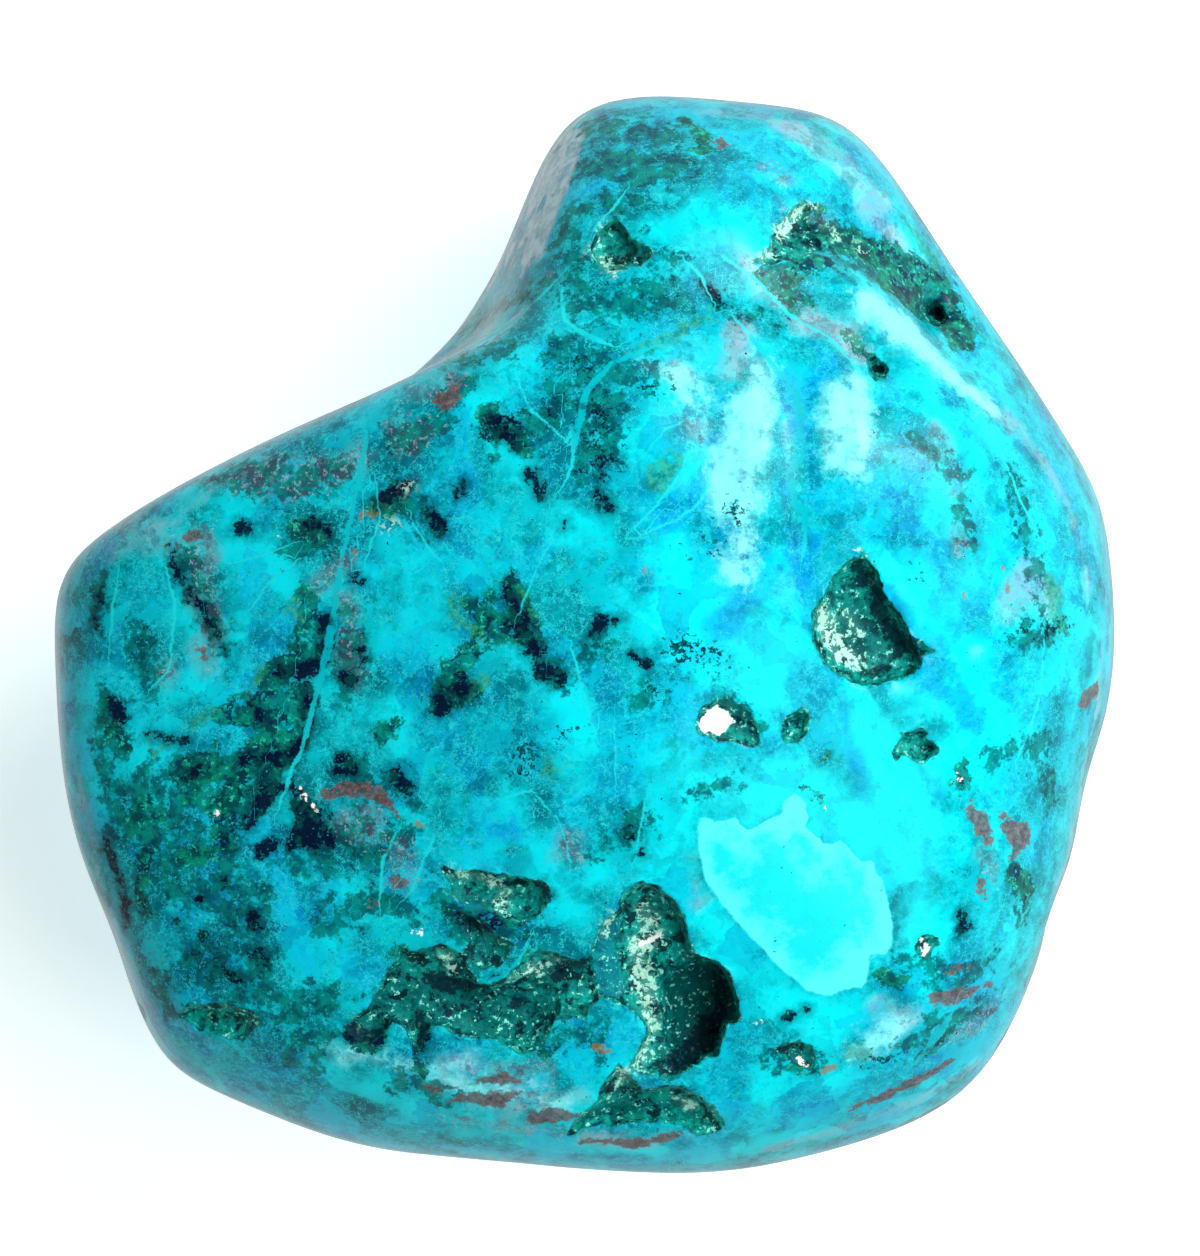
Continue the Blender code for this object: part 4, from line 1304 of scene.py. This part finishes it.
# The rows hold the veins and one painted highlight along the rolled edge of the shoulder.
vein_and_highlight_rows = [placed(stroke) for stroke in VEINS_AND_HIGHLIGHT]
vein_and_highlight_rows += [random_stroke(RANDOM_VEIN_HALF, RANDOM_VEIN_SPOTS) for _ in range(RANDOM_VEINS)]
for row in vein_and_highlight_rows:
    for start, end in zip(row[:-1], row[1:]):
        run, share, off = along_run(corners, start, end)
        gap = np.linalg.norm(off, axis=1)
        turned = np.einsum("ij,ij->i", np.cross(run, off), normals)
        closer = gap < np.abs(side)
        side = np.where(closer, np.copysign(gap, turned), side)
        width = np.where(closer, start[3] + share * (end[3] - start[3]), width)
keep_field("vein_side", side)
keep_field("vein_width", width)
print("vertices near a vein:", int((np.abs(side) < VEIN_REACH).sum()))

# %% [markdown]
# ## The clear stone
# Between the patches the stone is clear: cyan, deeper and greener to the left, with soft clouds.
# The darker left is partly painted shade, on the side away from the windows.
# What is soft can be mixed once for each vertex and kept as a colour attribute, which costs the
# renderer nothing, while what has a crisp edge has to wait for the material. So the clear stone
# is tinted here, in layers: clouds, then angular fragments that were broken and healed, then the
# soft strokes.

# %% Tints of the clear stone
TEAL = (0.0, 0.250, 0.300)
CYAN = (0.0, 0.560, 0.680)
LIT_CYAN = (0.0, 0.740, 0.830)
BRIGHT_CYAN = (0.0, 0.900, 0.960)
DEEP_TEAL = (0.0, 0.095, 0.130)
SKY_BLUE = (0.0, 0.310, 0.660)
PALE_CYAN = (0.42, 0.95, 0.95)
LAVENDER_GREY = (0.31, 0.43, 0.50)
GREY_ROCK = (0.12, 0.22, 0.26)
TURNS_CYAN = (-14, 12)  # teal turns to cyan between these places across the stone, in mm
TURN_RAGGED = 9  # how far the clouds push that turn about, in mm


def smooth_band(values, start, end):
    """0 up to the start, 1 from the end on, and smooth between. The end may be the lower one."""
    return eased((values - start) / (end - start))


def tinted(under, share, colour):
    """The tint with a colour laid over it, by that share at each vertex."""
    return under + np.clip(share, 0, 1)[:, None] * (np.array(colour) - under)


# Teal turns to cyan towards the right: partly the stone's own colour, partly painted shade on the left,
# the side away from the windows.
rightwards = smooth_band(corners[:, 0] + TURN_RAGGED * wide_clouds, *TURNS_CYAN)
tint = tinted(np.tile(np.array(TEAL), (len(corners), 1)), rightwards, CYAN)
print("share of cyan:", round(float(rightwards.mean()), 2))

# %% Clouds, and broken and healed fragments
FRAGMENT = 4.6  # about how wide a fragment is, in mm
FRAGMENT_BENT = 0.3  # how far the clouds bend its straight edges, as a share of its width
SEED_SPREAD = 9.7  # takes neighbouring fragments far apart in the random numbers
fragments = np.array([
    noise.cell_vector(
        noise.voronoi(Vector(p) / FRAGMENT + Vector((w, -w, w)) * FRAGMENT_BENT)[1][0] * SEED_SPREAD
    )
    for p, w in zip(corners, soft_clouds)
])
CLOUD_TINTS = (
    # (clouds or a random number for each fragment, none of it at, all of it at, how much, tint)
    (soft_clouds, 0.10, 0.40, 0.55, LIT_CYAN),
    (soft_clouds, -0.08, -0.40, 0.50, TEAL),
    (fragments[:, 0], 0.35, 0.3501, 0.34, LIT_CYAN),
    (fragments[:, 1], 0.40, 0.4001, 0.40, TEAL),
    (fragments[:, 2], 0.55, 0.5501, 0.34, SKY_BLUE),
    (fine_clouds, 0.12, 0.35, 0.30, LIT_CYAN),
    (fine_clouds, -0.10, -0.40, 0.32, DEEP_TEAL),
)
for values, none_at, all_at, share, colour in CLOUD_TINTS:
    tint = tinted(tint, share * smooth_band(values, none_at, all_at), colour)
print("cloud tints:", len(CLOUD_TINTS), "fragments:", len(np.unique(fragments[:, 0])))

# %% Soft strokes, among them painted light, shade and reflection
def soft_patch(kind, soft, push):
    """Where a kind's strokes lie, with an edge so many mm soft that the clouds push about."""
    return smooth_band(fields[kind] + push * ragged_clouds, -soft / 2, soft / 2)


# Bright cyan stone, and painted light: a highlight on the neck's dome and light along the lower rim.
bright_and_painted_light = soft_patch("bright_and_painted_light", 1.8, 0.9)
STROKE_TINTS = (
    # (where it lies, how much, tint)
    # Deep teal stone, and painted shade in the cleft, along the step and under the shoulder.
    (soft_patch("deep", 2.0, 1.0), 0.60, DEEP_TEAL),
    (bright_and_painted_light, 0.70, LIT_CYAN),
    # Bright patches are brighter still towards the right: partly the stone's colour, partly painted light
    # on the side the windows light.
    (bright_and_painted_light * rightwards, 0.60, BRIGHT_CYAN),
    (soft_patch("blue", 0.8, 0.6), 0.88, SKY_BLUE),
    (soft_patch("grey", 0.8, 0.6), 0.70, GREY_ROCK),
    # Lavender stone, and painted reflection on the steep rims and the rolled edge.
    (soft_patch("reflection_and_lavender", 0.9, 0.5), 0.78, LAVENDER_GREY),
    # Painted highlights on the flutes and the ridge, and pale stone elsewhere.
    (soft_patch("pale_and_highlight", 1.2, 0.5), 0.50, PALE_CYAN),
)
CALM_RIGHT = 0.15  # how much less the cyan side is broken up by wisps and grain
CALM_BRIGHT = 0.45  # the same for bright patches
for where, share, colour in STROKE_TINTS:
    tint = tinted(tint, share * where, colour)
busy = (1 - CALM_RIGHT * rightwards) * (1 - CALM_BRIGHT * bright_and_painted_light)
tint_layer = stone.data.attributes.new("tint", "FLOAT_COLOR", "POINT")
tint_layer.data.foreach_set("color", np.clip(np.column_stack((tint, busy)), 0, 1).ravel())
print("mean tint:", [round(float(value), 3) for value in tint.mean(axis=0)])

# %% [markdown]
# ## Short words for the material
# One material paints the whole stone, so it is long. It reads as layers, from the clear stone up
# to the specks, because each node takes one short call here. Everything is in millimetres, read
# from the object's own coordinates, so the pattern runs through the stone as it does in rock.
# Clouds are costly, so a few sizes of them are made once and shared by all the layers. Clouds
# have a mean of a half, and rarely leave the span from a quarter to three quarters.

# %% A paint box
class Paint:
    """Adds nodes to a material. What is laid last covers what was laid before."""

    def __init__(self, name):
        self.material = bpy.data.materials.new(name)
        self.material.use_nodes = True
        self.tree = self.material.node_tree
        self.shader = self.tree.nodes["Principled BSDF"]
        metres = self.node("TexCoord").outputs["Object"]
        self.place = self.node("VectorMath", {0: metres, "Scale": 1 / MM}, operation="SCALE").outputs[0]
        self.colour = None
        self.fields = {}

    def put(self, socket, value):
        """Links an output to a socket, or gives the socket a constant value."""
        if isinstance(value, bpy.types.NodeSocket):
            self.tree.links.new(value, socket)
        else:
            socket.default_value = value

    def node(self, kind, inputs=None, **settings):
        made = self.tree.nodes.new("ShaderNode" + kind)
        for setting, choice in settings.items():
            setattr(made, setting, choice)
        for name, value in (inputs or {}).items():
            self.put(made.inputs[name], value)
        return made

    def maths(self, operation, *values):
        return self.node("Math", dict(enumerate(values)), operation=operation).outputs[0]

    def product(self, first, *others):
        for other in others:
            first = self.maths("MULTIPLY", first, other)
        return first

    def total(self, first, *others):
        for other in others:
            first = self.maths("ADD", first, other)
        return first

    def pushed(self, value, *pushes):
        """A value with clouds added, each given as (clouds, about how far they push either way)."""
        return self.total(value, *(self.maths("MULTIPLY_ADD", c, far * 4, -far * 2) for c, far in pushes))

    def band(self, value, start, end):
        """0 up to the start, 1 from the end on, and smooth between. The end may be the lower one."""
        inputs = {"Value": value, "From Min": start, "From Max": end}
        return self.node("MapRange", inputs, interpolation_type="SMOOTHSTEP").outputs[0]

    def line(self, value, start, end):
        """1 along the line where clouds pass through a half, and 0 on either side."""
        return self.band(self.maths("ABSOLUTE", self.maths("SUBTRACT", value, 0.5)), start, end)

    def clouds(self, size, detail, roughness, place=None):
        """Clouds about as wide as the size, in mm. Outputs: one cloud, three of them together."""
        inputs = {"Vector": place or self.place, "Scale": 1 / size, "Detail": detail}
        return self.node("TexNoise", {**inputs, "Roughness": roughness}).outputs

    def warped(self, three_clouds, far):
        """The place, pushed about by clouds, so that straight edges turn ragged."""
        centred = self.node("VectorMath", {0: three_clouds, 1: (0.5,) * 3}, operation="SUBTRACT")
        inputs = {0: centred.outputs[0], 1: (far * 4,) * 3, 2: self.place}
        return self.node("VectorMath", inputs, operation="MULTIPLY_ADD").outputs[0]

    def mix(self, under, over, *shares):
        """One colour over another, by the product of the shares. A colour may be an output."""
        made = self.node("Mix", {"Factor": self.product(*shares)}, data_type="RGBA")
        for number, value in ((6, under), (7, over)):  # the sockets A and B for colours
            self.put(made.inputs[number], (*value, 1.0) if isinstance(value, tuple) else value)
        return made.outputs[2]

    def strewn(self, under, over, value, start, end, *shares):
        """One colour over another: none of it where a value is at the start, all of it at the end."""
        return self.mix(under, over, self.band(value, start, end), *shares)

    def lay(self, colour, *shares):
        """A colour over all that was laid before."""
        self.colour = self.mix(self.colour, colour, *shares)

    def lay_strewn(self, colour, value, start, end, *shares):
        """The same, where a value passes from the start to the end."""
        self.colour = self.strewn(self.colour, colour, value, start, end, *shares)

    def field(self, name, output="Fac"):
        """An attribute of the mesh, made once."""
        if name not in self.fields:
            self.fields[name] = self.node("Attribute", attribute_name=name).outputs
        return self.fields[name][output]

    def patch(self, kind, soft, *pushes):
        """Where a kind's strokes lie: 1 inside. The pushes, in mm, make its edge ragged."""
        return self.band(self.pushed(self.field(kind), *pushes), -soft / 2, soft / 2)


paint = Paint("polished_turquoise")
print("material:", paint.material.name)

# %% The clouds that all the layers share
ragged_three = paint.clouds(0.9, 4.0, 0.68)[1]
ragged = paint.node("SeparateColor", {0: ragged_three}).outputs
wisps = paint.clouds(2.2, 4.0, 0.62, paint.warped(ragged_three, 0.5))[0]
grain = paint.clouds(0.33, 2.0, 0.7)[0]
HEALED = 2.3  # about how wide a small healed fragment is, in mm
cells = paint.node("TexVoronoi", {"Vector": paint.warped(ragged_three, 0.28), "Scale": 1 / HEALED})
healed = paint.node("SeparateColor", {0: cells.outputs["Color"]}).outputs
print("nodes for clouds:", len(paint.tree.nodes))

# %% [markdown]
# ## Wisps, grain and healed cracks
# Polish lets the eye into the stone, down to wisps, grains and old cracks that silica filled
# again. Each is a band of the shared clouds: a cloud's own edge makes an island or a wisp, and
# the line where a cloud passes through a half makes a thread. They are weaker where the stone is
# calm, which the alpha of the tint says.

# %% The clear stone's own pattern
THREAD_CYAN = (0.02, 0.66, 0.70)
paint.colour = paint.field("tint", "Color")
busy_here = paint.field("tint", "Alpha")
islands = paint.band(wisps, 0.560, 0.575)
off_islands = paint.maths("MULTIPLY_ADD", islands, -0.7, 1.0)
CLEAR_LAYERS = (
    # (colour, clouds, none of it at, all of it at, what makes it weaker)
    (LIT_CYAN, healed[0], 0.66, 0.67, 0.36),
    (DEEP_TEAL, healed[1], 0.62, 0.63, busy_here, 0.38),
    (SKY_BLUE, healed[2], 0.76, 0.77, 0.34),
    (LIT_CYAN, wisps, 0.560, 0.575, 0.30),
    (DEEP_TEAL, wisps, 0.455, 0.430, busy_here, 0.28),
    (DEEP_TEAL, wisps, 0.400, 0.375, busy_here, 0.34),
    (DEEP_TEAL, ragged[0], 0.420, 0.395, busy_here, off_islands, 0.36),
    (LIT_CYAN, ragged[1], 0.590, 0.615, busy_here, 0.36),
    (THREAD_CYAN, grain, 0.56, 0.70, busy_here, off_islands, 0.15),
    (DEEP_TEAL, grain, 0.44, 0.32, busy_here, off_islands, 0.18),
)
for layer in CLEAR_LAYERS:
    paint.lay_strewn(*layer)
threads = paint.line(ragged[2], 0.016, 0.005)
paint.lay(THREAD_CYAN, threads, busy_here, off_islands, 0.74)
cracks = paint.line(wisps, 0.010, 0.003)
paint.lay(THREAD_CYAN, cracks, busy_here, 0.80)
print("layers of the clear stone:", len(CLEAR_LAYERS) + 2)

# %% [markdown]
# ## Rock and malachite
# Dark, mossy stone, and the painted shade laid with it, has no edge: it thins out into
# grains. Rust lies in the stone as stains.
# Malachite is granular: dark seams between green grains, a few of them pale, a few olive. Its
# edge is ragged, because it grew from many seeds. Textures drawn for each of them would stretch
# on the sides, so each is mixed from bands of the shared clouds, and laid where its own field
# and some of those clouds add up to more than nothing.

# %% The pale splinter, the milky stone and the painted highlights
SPLINTER_CYAN = (0.0, 0.82, 0.92)
SPLINTER_PALE = (0.12, 0.92, 1.0)
PALE_WHITE = (0.26, 0.95, 1.0)
splinter = paint.band(paint.pushed(paint.field("splinter"), (ragged[0], 0.10)), -0.05, 0.12)
milky = paint.band(paint.pushed(paint.field("splinter"), (wisps, 1.5)), 2.0, 0.3)
milky = paint.maths("MULTIPLY_ADD", milky, 0.66, 0.06)
paint.lay(SPLINTER_CYAN, splinter, 0.80)
paint.lay(SPLINTER_PALE, splinter, milky)
# Painted highlights on the flutes and the ridge, and pale stone elsewhere.
pale_and_highlight = paint.patch("pale_and_highlight", 1.3, (ragged[0], 0.80), (wisps, 1.10))
paint.lay(PALE_WHITE, pale_and_highlight, 0.70)
print("nodes so far:", len(paint.tree.nodes))

# %% Moss with painted shade, and grey rock
MOSS_DARK = (0.0, 0.045, 0.060)
MOSS_GREEN = (0.0, 0.175, 0.140)
PLUM = (0.07, 0.05, 0.10)
MOSS_FULL = 0.6  # moss gets no thicker further in than this, in mm
MOSS_THINNING = 0.45  # how fast it thins out towards its edge
# Mottled dark stone, and painted shade under the shoulder and along the step at the left edge.
thinning = paint.product(paint.maths("MINIMUM", paint.field("moss_and_shade"), MOSS_FULL), MOSS_THINNING)
moss_and_shade = paint.band(paint.pushed(thinning, (ragged[0], 0.66), (grain, 0.12)), -0.05, 0.26)
mossy = paint.strewn(MOSS_DARK, MOSS_GREEN, ragged[1], 0.42, 0.58)
mossy = paint.strewn(mossy, THREAD_CYAN, grain, 0.60, 0.70, 0.6)
paint.lay(mossy, moss_and_shade, 0.84)
grey_rock = paint.patch("grey", 0.5, (ragged[0], 0.4), (grain, 0.3))
paint.lay_strewn(PLUM, ragged[1], 0.48, 0.38, grey_rock, 0.55)
paint.lay_strewn(LAVENDER_GREY, grain, 0.56, 0.66, grey_rock, 0.50)
print("nodes so far:", len(paint.tree.nodes))

# %% Rust, gold and the painted reflection on the neck's face
RUST_BROWN = (0.080, 0.018, 0.018)
RUST_PINK = (0.18, 0.090, 0.085)
GOLD_BROWN = (0.25, 0.15, 0.03)
REFLECTION_PALE = (0.50, 0.66, 0.70)
rusty = paint.strewn(RUST_BROWN, RUST_PINK, grain, 0.38, 0.64)
rust = paint.patch("rust", 0.20, (ragged[1], 0.32), (grain, 0.20))
paint.lay(rusty, rust, 0.82)
gold = paint.patch("gold", 0.15, (ragged[2], 0.20), (grain, 0.10))
paint.lay(GOLD_BROWN, gold, 0.70)
# Painted reflection on the neck's steep left face: pale lavender grey up to its outline.
reflection_colour = paint.strewn(LAVENDER_GREY, REFLECTION_PALE, ragged[0], 0.40, 0.60)
painted_reflection = paint.band(paint.pushed(paint.field("painted_reflection"), (ragged[1], 0.12)), -0.10, 0.25)
paint.lay_strewn(reflection_colour, wisps, 0.30, 0.44, painted_reflection, 0.88)
print("nodes so far:", len(paint.tree.nodes))

# %% Malachite
GREEN_DARK = (0.0, 0.055, 0.060)
GREEN_MID = (0.0, 0.235, 0.150)
GREEN_BLUE = (0.0, 0.290, 0.280)
GREEN_PALE = (0.02, 0.600, 0.450)
OLIVE_DARK = (0.0, 0.110, 0.055)
OLIVE_LIGHT = (0.040, 0.340, 0.110)
NAVY = (0.0, 0.008, 0.040)
malachite = paint.strewn(GREEN_DARK, GREEN_MID, ragged[1], 0.40, 0.60)
malachite = paint.strewn(malachite, GREEN_BLUE, wisps, 0.50, 0.60, 0.55)
malachite = paint.strewn(malachite, GREEN_DARK, grain, 0.46, 0.34, 0.75)
malachite = paint.strewn(malachite, NAVY, ragged[0], 0.49, 0.43, 0.92)
malachite = paint.strewn(malachite, GREEN_PALE, grain, 0.59, 0.66, 0.75)
green = paint.patch("green", 0.20, (ragged[0], 0.50), (grain, 0.22))
unbroken = paint.band(ragged[2], 0.635, 0.600)
paint.lay(malachite, green, unbroken, 0.95)
olive_grains = paint.strewn(OLIVE_DARK, OLIVE_LIGHT, grain, 0.38, 0.62)
olive = paint.patch("olive", 0.4, (ragged[1], 0.50), (grain, 0.35))
paint.lay(olive_grains, olive, 0.55)
print("nodes so far:", len(paint.tree.nodes))

# %% Black rock, painted shade and shadow, flecks and dust
INK = (0.0, 0.004, 0.026)
INK_GREEN = (0.0, 0.050, 0.050)
inky = paint.strewn(INK, INK_GREEN, ragged[1], 0.50, 0.58)
inky = paint.strewn(inky, GREEN_BLUE, grain, 0.60, 0.68, 0.7)
# Black rock, painted shade in the cleft and on the step at the left edge, and painted shadow on the far
# walls of the vugs.
black_and_shade = paint.patch("black_and_shade", 0.12, (ragged[2], 0.50), (grain, 0.22))
shade = paint.band(paint.pushed(paint.field("black_and_shade"), (ragged[2], 0.40)), -0.65, 0.15)
paint.lay(MOSS_DARK, shade, 0.62)
paint.lay(inky, black_and_shade, 0.96)
scatter = paint.maths("MULTIPLY_ADD", paint.field("specks"), 0.38, -0.28)
flecks = paint.band(paint.pushed(scatter, (grain, 0.55), (ragged[2], 0.42)), -0.04, 0.10)
paint.lay(inky, flecks, 0.95)
dust = paint.product(paint.band(grain, 0.720, 0.745), paint.band(wisps, 0.44, 0.50))
paint.lay(INK, dust)
print("nodes so far:", len(paint.tree.nodes))

# %% Veins, and the painted highlight on the shoulder's rolled edge
VEIN_CYAN = (0.0, 0.440, 0.520)
VEIN_PALE = (0.01, 0.660, 0.700)
wavering = paint.pushed(paint.field("vein_side"), (ragged[0], 0.13), (grain, 0.04))
swelling = paint.product(paint.field("vein_width"), paint.maths("MULTIPLY_ADD", wisps, 2.2, -0.1))
inside_vein = paint.maths("SUBTRACT", swelling, paint.maths("ABSOLUTE", wavering))
# Veins, and the painted highlight along the rolled edge of the shoulder.
veins_and_highlight = paint.band(inside_vein, -0.04, 0.05)
worn = paint.maths("MULTIPLY_ADD", paint.band(ragged[1], 0.36, 0.48), 0.60, 0.25)
vein_shade = paint.strewn(VEIN_CYAN, VEIN_PALE, paint.field("vein_width"), 0.20, 0.10)
paint.lay(vein_shade, veins_and_highlight, worn)
print("nodes so far:", len(paint.tree.nodes))

# %% [markdown]
# ## Inside the vugs
# No wheel reached in there, so the vugs keep their crust of malachite crystals: velvety green
# over the lumps and nearly white on some of their tips, with painted shade in the seams between
# the lumps and deeper down in each vug. They are matt, while the skin around them is glossy. The
# height on a lump, kept from the mesh, says where the seams and the tips are, so the colours
# follow the shape.

# %% Crust, with painted shade in its seams and depths
CRUST_BLACK = (0.0, 0.006, 0.020)
CRUST_DARK = (0.0, 0.085, 0.088)
CRUST_GREEN = (0.0, 0.340, 0.285)
CREAM_DIM = (0.16, 0.520, 0.420)
BARE_SLOPE = (0.0, 0.200, 0.260)
tips = paint.pushed(paint.field("crust"), (ragged[1], 0.40), (grain, 0.45))
# Painted shade: the crust darkens down into the seams between the lumps.
crust = paint.strewn(CRUST_DARK, CRUST_GREEN, tips, -0.20, 0.55)
cream = paint.patch("cream", 0.8, (ragged[0], 0.30))
crust = paint.mix(crust, CREAM_DIM, cream, 0.45)
in_shade = paint.patch("moss_and_shade", 0.8, (ragged[0], 0.60), (grain, 0.30))
crust = paint.mix(crust, CRUST_DARK, in_shade, 0.62)
crust = paint.strewn(crust, CRUST_BLACK, ragged[2], 0.475, 0.420, 0.85)
# Painted shade: the crust darkens the deeper it lies below the filled skin.
crust = paint.strewn(crust, CRUST_DARK, paint.field("depth"), 1.2, 3.0, 0.72)
bare = paint.patch("blue", 0.4, (ragged[0], 0.2))
crust = paint.mix(crust, BARE_SLOPE, bare, 0.8)
print("nodes so far:", len(paint.tree.nodes))

# %% Pale crystals and white spots
CRUST_PALE = (0.22, 0.860, 0.700)
CREAM_STONE = (0.50, 0.860, 0.700)
WHITE_STONE = (0.90, 0.95, 0.92)
on_lumps = paint.product(paint.field("crust"), 0.10)
in_cream = paint.product(cream, 0.17)
fleck_height = paint.total(grain, on_lumps, in_cream, paint.product(ragged[0], 0.35))
crust = paint.strewn(crust, paint.mix(CRUST_PALE, CREAM_STONE, cream), fleck_height, 0.805, 0.895, 0.85)
in_hollow = paint.band(paint.pushed(paint.field("sunk"), (ragged[1], 0.10)), -0.05, 0.06)
paint.lay(crust, in_hollow)
on_skin_only = paint.maths("SUBTRACT", 1.0, in_hollow)
cream_height = paint.total(grain, paint.product(ragged[1], 0.5))
paint.lay_strewn(CREAM_STONE, cream_height, 0.74, 0.82, cream, on_skin_only, 0.88)
paint.lay(WHITE_STONE, paint.patch("white", 0.10, (grain, 0.18)))
# In the vugs the black strokes give black crust, and painted shadow on their far walls.
paint.lay(CRUST_BLACK, black_and_shade, in_hollow, 0.85)
print("nodes so far:", len(paint.tree.nodes))

# %% [markdown]
# ## Gloss and touch
# The polish is smooth, a little duller over malachite and rock, and broken by fine pits. In the
# vugs a strong bump carries on from the lumps of the mesh at a finer scale.

# %% Roughness and bump
GLOSS = 0.14
DULLER_GREEN = 0.14  # how much rougher the polish is over malachite
MATT = 0.62
PIT_BUMP = 0.03
CRUST_BUMP = 0.9
dull = paint.maths("MULTIPLY_ADD", green, DULLER_GREEN, GLOSS)
roughness = paint.node("Mix", {0: in_hollow, 2: dull, 3: MATT}, data_type="FLOAT").outputs[0]
rough_here = paint.band(paint.field("sunk"), -0.05, 0.06)
bump_depth = paint.maths("MULTIPLY_ADD", rough_here, CRUST_BUMP, PIT_BUMP)
bump_inputs = {"Height": paint.product(grain, bump_depth), "Strength": 0.6, "Distance": 0.2 * MM}
FINISH = {
    "Base Color": paint.colour,
    "Roughness": roughness,
    "Normal": paint.node("Bump", bump_inputs).outputs[0],
    "IOR": 1.48,
    "Specular IOR Level": 0.28,
}
for name, value in FINISH.items():
    paint.put(paint.shader.inputs[name], value)
stone.data.materials.clear()
stone.data.materials.append(paint.material)
print("nodes in the material:", len(paint.tree.nodes))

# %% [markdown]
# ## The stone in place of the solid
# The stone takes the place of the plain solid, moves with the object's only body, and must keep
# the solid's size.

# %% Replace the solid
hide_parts(NODE)
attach(stone, "root")
